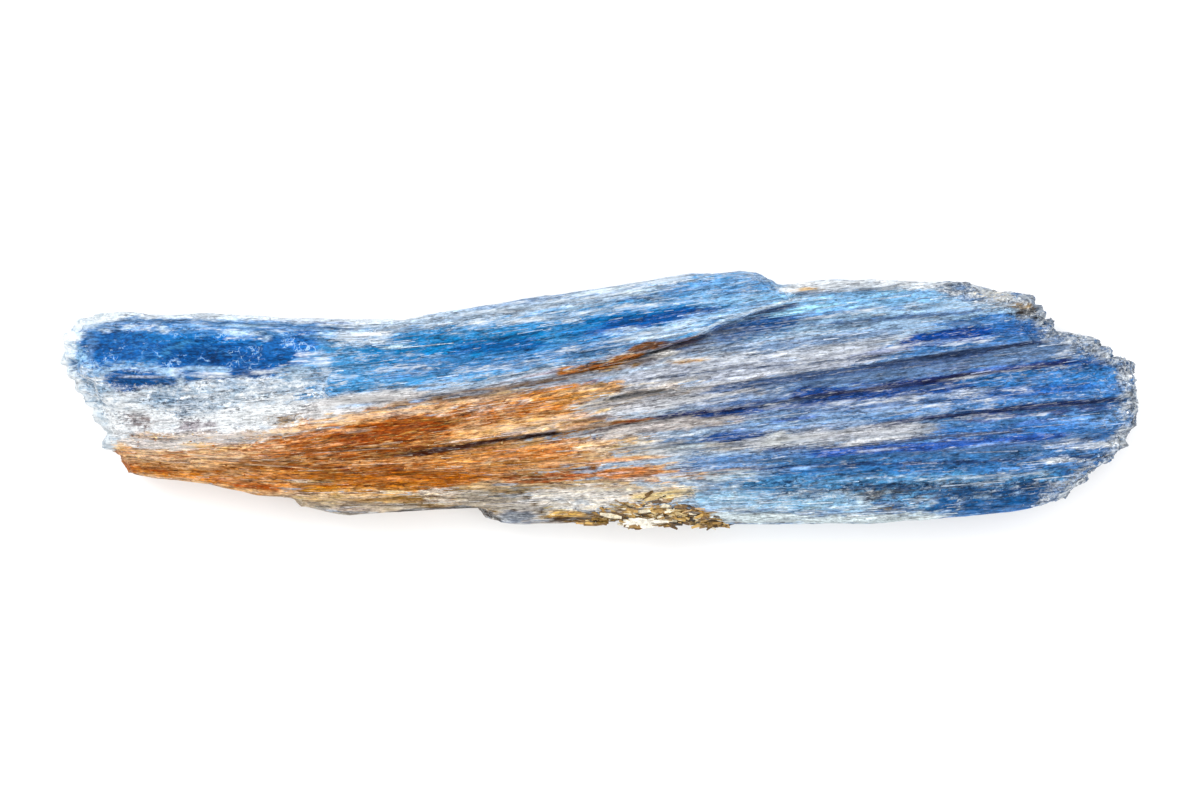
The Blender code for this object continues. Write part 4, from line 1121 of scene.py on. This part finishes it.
def feed(tree, node, sockets):
    """Links each named socket of a node to another node's output, or sets its value."""
    for name, value in dict(sockets).items():
        if isinstance(value, bpy.types.NodeSocket):
            tree.links.new(value, node.inputs[name])
        else:
            node.inputs[name].default_value = value


def add(tree, kind, sockets=(), out=0, **settings):
    """Adds a shader node with its settings, feeds its sockets, and gives one of its outputs."""
    made = tree.nodes.new("ShaderNode" + kind)
    for name, value in settings.items():
        setattr(made, name, value)
    feed(tree, made, sockets)
    return made.outputs[out]


def fresh_material(name):
    """A named material with only its shader and its output: the material, its nodes and the shader."""
    material = bpy.data.materials.new(name)
    material.use_nodes = True
    return material, material.node_tree, material.node_tree.nodes["Principled BSDF"]


def rgba(code):
    """A screen colour as the four linear numbers that a colour socket takes."""
    return (*linear(code), 1.0)


kyanite, tree, shader = fresh_material("kyanite_cleaved")
coats = [add(tree, "Attribute", out="Color", attribute_name=name) for name in ("tint", "other_tint")]
fibres = add(tree, "Attribute", out="Vector", attribute_name="grain")
frost = add(tree, "Attribute", out="Fac", attribute_name="frost")
clear = add(tree, "Attribute", out="Fac", attribute_name="clear")
white = add(tree, "Attribute", out="Fac", attribute_name="white")
print("attributes read:", len(tree.nodes) - 2)

# %% [markdown]
# ### Noise at the sizes of the fibres
# Each pattern below is one noise, stretched to a real length and width in millimetres along the fibres,
# with this much detail. Where the stone is broken, rounded crushed grains take the place of the fibres.
# The choice between the two coats of colour follows its own fine pattern.

# %% The noises of the kyanite
PATTERNS = {
    "bands": (14.0, 0.7, 2.0),
    "fibre": (3.2, 0.26, 5.0),
    "hair": (2.0, 0.16, 3.0),
    "split": (1.5, 0.12, 1.0),
    "choice": (1.8, 0.2, 4.0),
    "patch": (3.0, 1.1, 3.0),
    "crush": (0.5, 0.34, 5.0),
    "grit": (0.5, 0.17, 2.0),
    "scale": (1.3, 0.22, 4.0),
    "stain": (2.6, 0.5, 3.0),
}
noise = {}
for name, (length, width, detail) in PATTERNS.items():
    stretched = add(tree, "VectorMath", {0: fibres, 1: (1 / length, 1 / width, 1 / width)}, **TIMES)
    noise[name] = add(tree, "TexNoise", {
        "Vector": stretched, "Scale": 1.0, "Detail": detail, "Roughness": 0.8,
    })
fibre = add(tree, "Mix", {0: frost, 2: noise["fibre"], 3: noise["crush"]})
hair = add(tree, "Mix", {0: frost, 2: noise["hair"], 3: noise["crush"]})
choice = add(tree, "Mix", {0: frost, 2: noise["choice"], 3: noise["crush"]})
choice = add(tree, "MapRange", {0: choice, 1: 0.46, 2: 0.54})
painted = add(tree, "Mix", {0: choice, 6: coats[0], 7: coats[1]}, **RGBA)
print("patterns:", ", ".join(noise))

# %% [markdown]
# ### Light and shade of the fibres
# Fibres darken and lighten the colour they are painted in, and so does fine grit. Noise rarely leaves the
# range of SWING. The clear window shows clouds and no fibres, and crushed white places are shaded less.
# All paint is darkened by PAINT_SHARE, because the scene's light shows a surface brighter than its paint.

# %% Light and dark fibres
SWING = {1: 0.34, 2: 0.66}
PAINT_SHARE = 0.71
banded = add(tree, "MapRange", {0: noise["bands"], 1: 0.3, 2: 0.7, 3: 0.9, 4: 1.1})
streaked = add(tree, "MapRange", {0: fibre, **SWING, 3: 0.56, 4: 1.56})
shade = add(tree, "Math", {0: banded, 1: streaked}, **TIMES)
gritty = add(tree, "MapRange", {0: noise["grit"], **SWING, 3: 0.64, 4: 1.46})
shade = add(tree, "Math", {0: shade, 1: gritty}, **TIMES)
cloudy = add(tree, "MapRange", {0: noise["patch"], **SWING, 3: 0.6, 4: 1.34})
gritty = add(tree, "MapRange", {0: noise["grit"], **SWING, 3: 0.6, 4: 1.5})
cloudy = add(tree, "Math", {0: cloudy, 1: gritty}, **TIMES)
shade = add(tree, "Mix", {0: clear, 2: shade, 3: cloudy})
crushed = add(tree, "MapRange", {0: white, 1: 0.25, 2: 0.55, 3: 0.0, 4: 0.5})
shade = add(tree, "Mix", {0: crushed, 2: shade, 3: 1.05})
shade = add(tree, "Math", {0: shade, 1: PAINT_SHARE}, **TIMES)
colour = add(tree, "Mix", {0: 1.0, 6: painted, 7: shade}, **DARKEN)
print("nodes so far:", len(tree.nodes))

# %% [markdown]
# ### Splits between the fibres
# Thin dark splits run between the fibres wherever the finest noise is low, but not in the clear window.

# %% Dark splits
split = add(tree, "MapRange", {0: noise["split"], 1: 0.42, 2: 0.30, 3: 0.0, 4: 0.6})
unclear = add(tree, "Math", {0: 1.0, 1: clear}, operation="SUBTRACT")
split = add(tree, "Math", {0: split, 1: unclear}, **TIMES)
darker = add(tree, "Mix", {0: 1.0, 6: colour, 7: rgba("#7d8090")}, **DARKEN)
colour = add(tree, "Mix", {0: split, 6: colour, 7: darker}, **RGBA)
print("nodes so far:", len(tree.nodes))

# %% [markdown]
# ### Rust in scales
# Rust is a crust of thin scales, ochre, orange, brown and nearly violet grey. It shows wherever the paint is
# redder than it is blue, so no separate mask is needed. Where the paint is dark the crust is thick, and its
# blue is taken out, so that it turns a deep orange brown.

# %% Scales of rust
parts = {name: add(tree, "SeparateColor", {0: painted}, out=name) for name in ("Red", "Blue")}
redness = add(tree, "Math", {0: parts["Red"], 1: parts["Blue"]}, operation="SUBTRACT")
rusty = add(tree, "MapRange", {0: redness, 1: 0.04, 2: 0.2})
for pattern, low, high, share, hue, blend in (
    ("stain", 0.50, 0.62, 0.6, rgba("#fff0a0"), "MULTIPLY"),
    ("stain", 0.48, 0.38, 0.25, rgba("#86706a"), "MIX"),
    ("scale", 0.50, 0.36, 0.9, rgba("#94603c"), "MULTIPLY"),
    ("scale", 0.52, 0.66, 0.9, (1.65, 1.65, 1.6, 1.0), "MULTIPLY"),
    ("hair", 0.56, 0.66, 0.42, rgba("#e0bc8a"), "MIX"),
):
    chosen = add(tree, "MapRange", {0: noise[pattern], 1: low, 2: high, 3: 0.0, 4: share})
    chosen = add(tree, "Math", {0: chosen, 1: rusty}, **TIMES)
    colour = add(tree, "Mix", {0: chosen, 6: colour, 7: hue}, blend_type=blend, **RGBA)

thick = add(tree, "MapRange", {0: parts["Red"], 1: 0.6, 2: 0.3})
thick = add(tree, "Math", {0: thick, 1: rusty}, **TIMES)
colour = add(tree, "Mix", {0: thick, 6: colour, 7: rgba("#ffee90")}, **DARKEN)
print("nodes so far:", len(tree.nodes))

# %% [markdown]
# ### Crushed fibres
# A crushed fibre is full of tiny breaks that scatter light, so it turns white, or cream where iron has
# stained it. A soft haze of them lies under single bright hairs, and both grow with the share of white that
# the skin carries.

# %% Haze and hairs
cluster = add(tree, "Math", {0: noise["patch"], 1: fibre}, **PLUS)
haze = add(tree, "Math", {0: cluster, 1: white}, **PLUS)
haze = add(tree, "MapRange", {0: haze, 1: 1.2, 2: 2.1, 3: 0.0, 4: 0.6})
milk = add(tree, "Mix", {0: rusty, 6: rgba("#d6d9da"), 7: rgba("#e8c69a")}, **RGBA)
pale = add(tree, "Mix", {0: 0.8, 6: painted, 7: milk}, **RGBA)
colour = add(tree, "Mix", {0: haze, 6: colour, 7: pale}, **RGBA)
bright = hair
for part, weight in ((cluster, 0.25), (white, 0.35)):
    weighed = add(tree, "Math", {0: part, 1: weight}, **TIMES)
    bright = add(tree, "Math", {0: bright, 1: weighed}, **PLUS)
bright = add(tree, "MapRange", {0: bright, 1: 0.90, 2: 1.04, 3: 0.0, 4: 0.85})
palest = add(tree, "Mix", {0: 0.85, 6: painted, 7: milk}, **RGBA)
colour = add(tree, "Mix", {0: bright, 6: colour, 7: palest}, **RGBA)
print("nodes so far:", len(tree.nodes))

# %% [markdown]
# ### Wisps
# Hairline cracks wander through every blade. The level lines of a rough noise draw them: dark ones, dirt and
# painted shade inside the cracks, and pale ones of painted highlight where they catch light. They are drawn
# 0.15 mm wide, so that they show.

# %% Dark and pale wisps
WISP_LENGTH, WISP_WIDTH = 4.5, 0.65
drawn = add(tree, "VectorMath", {0: fibres, 1: (1 / WISP_LENGTH, 1 / WISP_WIDTH, 1 / WISP_WIDTH)}, **TIMES)
wandering = add(tree, "TexNoise", {
    "Vector": drawn, "Scale": 1.0, "Detail": 5.0, "Roughness": 0.62, "Distortion": 0.25,
}, out="Color")
in_paler = add(tree, "MapRange", {0: noise["stain"], 1: 0.44, 2: 0.56})
in_darker = add(tree, "MapRange", {0: noise["stain"], 1: 0.56, 2: 0.44})
shadowed = add(tree, "Mix", {0: 1.0, 6: colour, 7: rgba("#8d8a90")}, **DARKEN)
lit = add(tree, "Mix", {0: clear, 6: milk, 7: rgba("#4288c4")}, **RGBA)
lit = add(tree, "Mix", {0: 0.6, 6: colour, 7: lit}, **RGBA)
in_clean = add(tree, "MapRange", {0: white, 1: 0.25, 2: 0.55, 3: 0.8, 4: 0.3})
in_crushed = add(tree, "MapRange", {0: white, 1: 0.04, 2: 0.3, 3: 0.14, 4: 0.65})
in_clear = add(tree, "Math", {0: clear, 1: 0.6}, **TIMES)
in_crushed = add(tree, "Math", {0: in_crushed, 1: in_clear}, operation="MAXIMUM")
for channel, where, share, hue in (
    ("Green", in_darker, in_clean, shadowed), ("Red", in_paler, in_crushed, lit),
):
    level = add(tree, "SeparateColor", {0: wandering}, out=channel)
    level = add(tree, "Math", {0: level, 1: 0.5}, operation="SUBTRACT")
    level = add(tree, "Math", {0: level}, operation="ABSOLUTE")
    level = add(tree, "MapRange", {0: level, 1: 0.028, 2: 0.006, 3: 0.0, 4: share})
    level = add(tree, "Math", {0: level, 1: where}, **TIMES)
    colour = add(tree, "Mix", {0: level, 6: colour, 7: hue}, **RGBA)
print("nodes so far:", len(tree.nodes))

# %% [markdown]
# ### Dark grains
# Old dirt and tiny shadows sit between the broken grains, but not where they are freshly crushed and white.

# %% Dark specks on the broken rims
clean = add(tree, "MapRange", {0: white, 1: 0.2, 2: 0.5, 3: 0.7, 4: 0.0})
specks = add(tree, "MapRange", {0: noise["grit"], 1: 0.46, 2: 0.36})
# The specks are old dirt and painted tiny shadows between the grains.
dirt_and_shade = add(tree, "Math", {0: frost, 1: clean}, **TIMES)
specks = add(tree, "Math", {0: specks, 1: dirt_and_shade}, **TIMES)
colour = add(tree, "Mix", {0: specks, 6: colour, 7: rgba("#242b36")}, **RGBA)
print("nodes so far:", len(tree.nodes))

# %% [markdown]
# ### Healed cracks under the window
# Cracks inside the clear blade have healed to thin milky walls. The borders of bent Voronoi cells draw them,
# and a second noise keeps only some. Milky flecks of crushed stone lie near them.

# %% Milky cracks
bending = add(tree, "TexNoise", {"Vector": fibres, "Scale": 1.3, "Detail": 3.0}, out="Color")
bent = add(tree, "VectorMath", {0: bending, 1: (1.6, 1.6, 1.6)}, **TIMES)
cells = add(tree, "VectorMath", {0: fibres, 1: (0.5, 0.7, 0.7)}, **TIMES)
bent = add(tree, "VectorMath", {0: cells, 1: bent}, **PLUS)
walls = add(tree, "TexVoronoi", {"Vector": bent, "Scale": 1.0}, feature="DISTANCE_TO_EDGE")
walls = add(tree, "MapRange", {0: walls, 1: 0.05, 2: 0.0, 3: 0.0, 4: 0.9})
walls = add(tree, "Math", {0: walls, 1: clear}, **TIMES)
some = add(tree, "MapRange", {0: noise["patch"], 1: 0.5, 2: 0.6})
walls = add(tree, "Math", {0: walls, 1: some}, **TIMES)
flecks = add(tree, "MapRange", {0: noise["crush"], 1: 0.57, 2: 0.68, 3: 0.0, 4: 0.75})
some = add(tree, "Math", {0: clear, 1: some}, **TIMES)
flecks = add(tree, "Math", {0: flecks, 1: some}, **TIMES)
milky = add(tree, "Math", {0: walls, 1: flecks}, operation="MAXIMUM")
colour = add(tree, "Mix", {0: milky, 6: colour, 7: rgba("#9cbcd8")}, **RGBA)
print("nodes so far:", len(tree.nodes))

# %% [markdown]
# ### Gloss and fine relief
# Cleaved faces are glassy and crushed ones dull, so the roughness follows the fibres. Yet the faces are
# slightly frosted all over, and the deep blue would turn milky with kyanite's full gloss. So the index is
# set a little under the real one, and the specular level low. Fine relief of a seventh of a millimetre at
# most catches the light along the fibres.

# %% Roughness and bump
FINE_RELIEF = 0.14
rough = add(tree, "MapRange", {0: fibre, 1: 0.3, 2: 0.7, 3: 0.38, 4: 0.62})
smoother = add(tree, "MapRange", {0: clear, 3: 1.0, 4: 0.7})
rough = add(tree, "Math", {0: rough, 1: smoother}, **TIMES)
hairs = add(tree, "Math", {0: hair, 1: 0.5}, **TIMES)
height = add(tree, "Math", {0: fibre, 1: hairs}, **PLUS)
strength = add(tree, "MapRange", {0: clear, 3: 0.85, 4: 0.35})
relief = add(tree, "Bump", {"Height": height, "Strength": strength, "Distance": FINE_RELIEF * MM})
feed(tree, shader, {"Base Color": colour, "Roughness": rough, "Normal": relief})
feed(tree, shader, {"IOR": 1.6, "Specular IOR Level": 0.05})
print(kyanite.name, "has", len(tree.nodes), "nodes")

# %% [markdown]
# ## The body
# The finished skin takes the place of the flat solid, which stays behind it for collision.

# %% Make the body
def piece(name, mesh, material):
    """Adds a finished mesh as a piece that moves with the stone."""
    made = placed(name, mesh)
    mesh.materials.clear()
    mesh.materials.append(material)
    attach(made, "root")
    return made


skin.name = "kyanite_body"
body = piece("kyanite_body", skin, kyanite)
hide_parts(STONE)
print("body:", len(skin.polygons), "faces")

# %% [markdown]
# ## Small pieces by the thousand
# Loose laths, crumbs and mica flakes are the same few shapes over and over, so each is made once from a
# handful of faces, and copies are turned, stretched and laid on the skin. A ray finds the surface, which
# keeps every piece seated on the stone. They are joined into one piece of each kind.

# %% Find the surface and lay copies on it
ABOVE = 20
DOWN = (0, 0, -1)
surface = bmesh.new()
surface.from_mesh(skin)
surface.faces.ensure_lookup_table()
face_tree = BVHTree.FromBMesh(surface)
dice = random.Random(7)


def hit(start, direction):
    """Where a ray meets the skin: the place in millimetres, the way out, the colour and how broken it is."""
    place, normal, index, _ = face_tree.ray_cast(Vector(start) * MM, Vector(direction))
    if place is None:
        return None
    nearest = surface.faces[index].verts[0].index
    return place / MM, normal, tints[0][nearest], broken[nearest]


def gathered(name, template, matrices, colours, frost=0.0):
    """One mesh with a copy of the template for each matrix, carrying the kyanite attributes."""
    bm = bmesh.new()
    for matrix in matrices:
        copy = template.copy()
        copy.transform(matrix)
        bm.from_mesh(copy)
        bpy.data.meshes.remove(copy)
    mesh = finished(bm, name)
    spots = points_of(mesh)
    move_points(mesh, spots * MM)
    colours = np.repeat(np.array(colours), len(template.vertices), axis=0)
    even = np.ones(len(spots))
    carry(mesh, [colours] * COATS, grain_of(spots), frost * even, 0.0 * even, 0.1 * even)
    print(name + ":", len(matrices), "copies,", len(mesh.polygons), "faces")
    return mesh


def varied(colour, towards, share):
    """A linear colour moved this share of the way to a screen colour."""
    return colour + (linear(towards) - colour) * share


print("rays meet", len(surface.faces), "faces")

# %% [markdown]
# ### Loose laths
# Where blades have been pulled apart, thin laths stand on the surface, a tenth to a quarter of a millimetre
# wide. Each is a cube drawn out long, with its ends cut to a slant.

# %% Make a lath
bm = bmesh.new()
bmesh.ops.create_cube(bm, size=1.0)
for side, slant in ((-0.5, 0.35), (0.5, 0.55)):
    end = [vert for vert in bm.verts if abs(vert.co.x - side) < 0.01]
    bmesh.ops.scale(bm, vec=(1, slant, slant), verts=end)
    bmesh.ops.translate(bm, vec=(0, 0.12, -0.15), verts=end)
lath = finished(bm, "lath")
print("a lath has", len(lath.polygons), "faces")

# %% [markdown]
# A lath lies where three rays find an even surface, along the fibres, in about the colour under it or a
# whiter one. The clear window has none, and dark blades have few. Its width and its tip vary, and it may be
# mirrored, so that no two look alike.

# %% Scatter the laths
LONGEST_LATH = 6.0


def lath_place(left, right, height, length):
    """A matrix that lays a lath from left to right at this height, tipped and mirrored at random."""
    run = (right - left).normalized()
    across = Vector((0, 0, 1)).cross(run).normalized()
    tip = Matrix.Rotation(dice.uniform(-0.5, 0.5), 4, run)
    basis = Matrix((run, across, run.cross(across))).transposed().to_4x4()
    width = dice.uniform(0.07, 0.2) * (1.3 if length > 4 else 1)
    size = Matrix.Diagonal((length * dice.choice((-1, 1)), width * dice.choice((-1, 1)), width * 0.8, 1))
    if size.determinant() < 0:
        size[2][2] *= -1
    centre = (left + right) / 2
    centre.z = (centre.z + height) / 2 + 0.02
    return Matrix.Translation(centre) @ tip @ basis @ size


def lay_laths(count):
    """Places and colours of laths on the upper side, along the fibres."""
    matrices, colours = [], []
    while len(matrices) < count:
        x, y = dice.uniform(-49.5, 49.5), dice.uniform(-11.5, 11.5)
        length = min(LONGEST_LATH, 0.8 + dice.expovariate(0.8))
        middle = np.array([[x, y]])
        if inside(middle, WINDOW[0], 3.4)[0] > 0.3:
            continue
        slope = float(slope_at(middle[:, 0], middle[:, 1])[0]) + dice.gauss(0, 0.02)
        offsets = [share * length for share in (-0.4, 0.0, 0.4)]
        ends = [hit((x + offset, y + offset * slope, ABOVE), DOWN) for offset in offsets]
        if None in ends or abs(ends[0][0].z - ends[2][0].z) > 0.25 * length:
            continue
        if min(end[1].z for end in ends) < 0.25:
            continue
        colour = sum(end[2] for end in ends) / 3
        brightness = float(colour @ (0.2, 0.7, 0.1))
        if dice.random() > 0.1 + 1.6 * brightness:
            continue
        matrices.append(lath_place(ends[0][0], ends[2][0], ends[1][0].z, length))
        if dice.random() < 0.5:
            paler = dice.uniform(0.1, 0.5) * min(1, 0.3 + 2 * brightness)
            colours.append(varied(colour, "#f4f7fa", paler))
        else:
            colours.append(colour * dice.uniform(0.7, 1.2))
    return matrices, np.clip(colours, 0, 1)


piece("loose_laths", gathered("loose_laths", lath, *lay_laths(1800)), kyanite)

# %% [markdown]
# ### Crumbs on the broken ends
# The ends and the crushed corner are covered in small blocky grains, white, grey and near black. Each is a
# cube with its corners cut off, squashed and turned at random and half sunk in the stone.

# %% Make a crumb
bm = bmesh.new()
bmesh.ops.create_cube(bm, size=1.0)
bmesh.ops.bevel(bm, geom=bm.verts[:], offset=0.28, segments=1, profile=0.5, affect="VERTICES", material=-1)
crumb = finished(bm, "crumb")
print("a crumb has", len(crumb.polygons), "faces")

# %% [markdown]
# Random rays find the crumbs' places, from beyond the end for the right rim and from above for the rest.
# Each row below is a number of rays, where they start, a range of widths, the colours, and the least shares
# of those colours and of brokenness.

# %% Scatter the crumbs
CRUMB_COLOURS = ("#ffffff", "#e6edf2", "#c3d3e2", "#9fb4c8", "#6d86a3", "#7f93aa", "#333b48", "#4f8cc6")
RUST_COLOURS = ("#d98a2a", "#8c3d0a", "#ecd3a0")
LOWEST_CRUMB = 0.4


def from_above(low, high):
    """Random rays straight down between two corners."""
    return lambda: ((dice.uniform(low[0], high[0]), dice.uniform(low[1], high[1]), ABOVE), DOWN)


def from_right():
    """A random ray towards the right end, from beyond it."""
    start = (60, dice.uniform(-10, 10), dice.uniform(0.8, 10))
    return start, (-1, dice.uniform(-0.2, 0.2), dice.uniform(-0.2, 0.0))


def lay_crumbs(count, ray, size, codes, keep, least):
    """Places and colours of crumbs where random rays meet the stone and it is at least this broken."""
    matrices, colours = [], []
    for _ in range(count):
        found = hit(*ray())
        if found is None:
            continue
        place, normal, colour, brokenness = found
        if place.z < LOWEST_CRUMB or brokenness < least:
            continue
        turn = Matrix.Rotation(dice.uniform(0, 6.28), 4, Vector([dice.gauss(0, 1) for _ in range(3)]))
        width = dice.uniform(*size)
        sizes = [width * dice.uniform(*range_) for range_ in ((0.7, 1.9), (0.6, 1.1), (0.5, 1.0))]
        sunk_place = Matrix.Translation(place - normal * width * 0.28)
        matrices.append(sunk_place @ turn @ Matrix.Diagonal((*sizes, 1)))
        colours.append(varied(colour, dice.choice(codes), dice.uniform(keep, 0.8)))
    return matrices, colours


crumb_matrices, crumb_colours = [], []
for count, ray, size, codes, keep, least in (
    (1500, from_right, (0.1, 0.27), CRUMB_COLOURS[:7], 0.2, 0.4),
    (250, from_above((-49, -4), (-26, 2)), (0.08, 0.18), CRUMB_COLOURS[:4], 0.2, 0.0),
    (60, from_above((10, -10), (42, -7.2)), (0.06, 0.14), CRUMB_COLOURS[2:7], 0.0, 0.0),
    (200, from_above((43, -6), (49, -3.5)), (0.08, 0.18), CRUMB_COLOURS[3:], 0.0, 0.2),
    (200, from_above((36, 6.5), (44, 10)), (0.08, 0.2), CRUMB_COLOURS[3:], 0.0, 0.2),
    (200, from_above((-45, -7), (1, -3)), (0.08, 0.22), RUST_COLOURS, 0.2, 0.0),
):
    matrices, colours = lay_crumbs(count, ray, size, codes, keep, least)
    crumb_matrices += matrices
    crumb_colours += colours
piece("broken_crumbs", gathered("broken_crumbs", crumb, crumb_matrices, crumb_colours, 0.4), kyanite)

# %% [markdown]
# ### Weathered mica
# Mica is a silicate of index 1.58 that splits to mirror-smooth sheets. Weathered mica is golden brown, and
# its flat faces flash where they meet light, so the material is smooth and slightly metallic, mottled in
# patches of 0.4 mm.

# %% Make the mica material
PATCHES_PER_METRE = 2500.0
EDGES_PER_METRE = 6000.0
mica, tree, shader = fresh_material("weathered_mica")
own = add(tree, "Attribute", out="Color", attribute_name="tint")
place_on_mica = add(tree, "TexCoord", out="Object")
patches = add(tree, "TexNoise", {"Vector": place_on_mica, "Scale": PATCHES_PER_METRE, "Detail": 3.0})
edges = add(tree, "TexNoise", {"Vector": place_on_mica, "Scale": EDGES_PER_METRE, "Detail": 2.0})
mottled = add(tree, "MapRange", {0: patches, 1: 0.3, 2: 0.7, 3: 0.43, 4: 0.96})
mottled = add(tree, "Mix", {0: 1.0, 6: own, 7: mottled}, **DARKEN)
sheen = add(tree, "MapRange", {0: patches, 1: 0.3, 2: 0.7, 3: 0.18, 4: 0.42})
relief = add(tree, "Bump", {"Height": edges, "Strength": 0.3, "Distance": 0.05 * MM})
feed(tree, shader, {"Base Color": mottled, "Roughness": sheen, "Normal": relief})
feed(tree, shader, {"IOR": 1.58, "Metallic": 0.25})
print(mica.name, "has", len(tree.nodes), "nodes")

# %% [markdown]
# ### The mica nest
# Mica grows as stacks of six-sided sheets and splits thinner than paper, so flakes are thin six-sided
# plates tilted every way.

# %% Make a flake
bm = bmesh.new()
bmesh.ops.create_circle(bm, cap_ends=True, segments=6, radius=1.0)
sheet = bmesh.ops.extrude_face_region(bm, geom=bm.faces[:])
top = [part for part in sheet["geom"] if isinstance(part, bmesh.types.BMVert)]
bmesh.ops.translate(bm, vec=(0, 0, 0.1), verts=top)
bmesh.ops.recalc_face_normals(bm, faces=bm.faces[:])
flake = finished(bm, "flake")
print("a flake has", len(flake.polygons), "faces")

# %% [markdown]
# The flakes fill the nest from the stone's lower edge upwards. NEST gives about half the nest's width at each
# x, in millimetres. A few broad flakes on top are painted near white, a painted glint where the nest's flat
# faces catch light.

# %% Scatter the mica
MICA_COLOURS = (
    "#94713a", "#b8904c", "#7d5c2e", "#d9bd84", "#5c4220", "#33240f", "#ece0c4", "#c9a050", "#a8803c",
)
NEST = ((-1.5, 0.15), (0.8, 0.9), (2.6, 1.5), (5.5, 1.45), (9.0, 1.0), (12.5, 0.1))
matrices, colours = [], []
while len(matrices) < 640:
    x = dice.uniform(NEST[0][0], NEST[-1][0])
    height = float(np.interp(x, *zip(*NEST)))
    found = hit((x, -11.85 + abs(dice.gauss(0, 0.8)) * height * 1.3, ABOVE), DOWN)
    if found is None or not -11.75 < found[0].y < -11.6 + 2.0 * height:
        continue
    tilt = Matrix.Rotation(dice.gauss(0, 0.5), 4, "X") @ Matrix.Rotation(dice.gauss(0, 0.12), 4, "Y")
    code = dice.choice(MICA_COLOURS)
    radius = dice.uniform(0.06, 0.14) * dice.choice((1, 1, 1.7))
    size = Matrix.Diagonal((radius * dice.uniform(2.5, 6.0), radius, radius * dice.uniform(0.4, 1.1), 1))
    spin = Matrix.Rotation(dice.gauss(0.0, 0.24), 4, "Z")
    place = found[0] + Vector((0, 0, dice.uniform(-0.1, 0.08)))
    matrices.append(Matrix.Translation(place) @ spin @ tilt @ size)
    colours.append(linear(code))
# Painted glint: broad flakes coloured near white where the nest catches light.
for _ in range(16):
    found = hit((dice.gauss(4.8, 0.9), dice.gauss(-11.3, 0.12), ABOVE), DOWN)
    if found is None:
        continue
    tilt = Matrix.Rotation(dice.gauss(0, 0.15), 4, "X")
    size = Matrix.Diagonal((dice.uniform(0.5, 1.1), dice.uniform(0.15, 0.3), 0.4, 1))
    matrices.append(Matrix.Translation(found[0] + Vector((0, 0, 0.12))) @ tilt @ size)
    colours.append(linear("#fbf4e4"))
piece("mica_flakes", gathered("mica_flakes", flake, matrices, colours), mica)
surface.free()

# %% [markdown]
# ## Camera
# The stone lies on its back and is looked at from straight above, from half a metre, so that it hardly
# narrows. The lens follows from the width that the frame takes in at the height of the upper blades.

# %% Camera
FRAME_WIDTH = 112.2 * MM
CAMERA_HEIGHT = 0.55
BLADE_HEIGHT = 6 * MM
SENSOR = 36.0
camera = placed("camera", bpy.data.cameras.new("camera"))
camera.data.sensor_width = SENSOR
camera.data.lens = SENSOR * (CAMERA_HEIGHT - BLADE_HEIGHT) / FRAME_WIDTH
camera.location = (ZERO[0] * MM, (ZERO[1] + 0.09) * MM, CAMERA_HEIGHT)
bpy.context.scene.camera = camera
print("camera lens:", round(camera.data.lens, 1), "mm")

# %% [markdown]
# ## Floor
# A sheet of matt white board, without any gloss, gives the stone something to lie on and a soft shadow.

# %% Floor
bm = bmesh.new()
bmesh.ops.create_grid(bm, x_segments=1, y_segments=1, size=2.0)
floor_mesh = finished(bm, "floor")
floor = placed("floor", floor_mesh)
board, floor_tree, floor_shader = fresh_material("matt_white_board")
feed(floor_tree, floor_shader, {
    "Base Color": rgba("#f6f6f6"), "Roughness": 0.9, "Specular IOR Level": 0.0,
})
floor_mesh.materials.append(board)
print("floor faces:", len(floor_mesh.polygons))

# %% [markdown]
# ## Light
# A large soft light from the upper left leaves the ledges' lower sides in gentle shade, a weaker one from
# the other side keeps that shade open, and a bright white room does the rest. Each light has a place, a
# size and a power, in metres and watts.

# %% Light
for name, place, size, power in (
    ("key", (-0.35, 0.45, 0.6), 0.5, 4.4), ("fill", (0.5, -0.35, 0.7), 0.7, 2.4),
):
    lamp = bpy.data.lights.new(name, "AREA")
    lamp.size, lamp.energy = size, power
    light = placed(name, lamp)
    light.location = place
    light.rotation_euler = (-Vector(place)).to_track_quat("-Z", "Y").to_euler()

world = bpy.data.worlds.new("pale_room")
bpy.context.scene.world = world
world.use_nodes = True
feed(world.node_tree, world.node_tree.nodes["Background"], {"Color": (1, 1, 1, 1), "Strength": 1.22})
bpy.context.scene.view_settings.view_transform = "Standard"
print("lights:", len(bpy.data.lights))
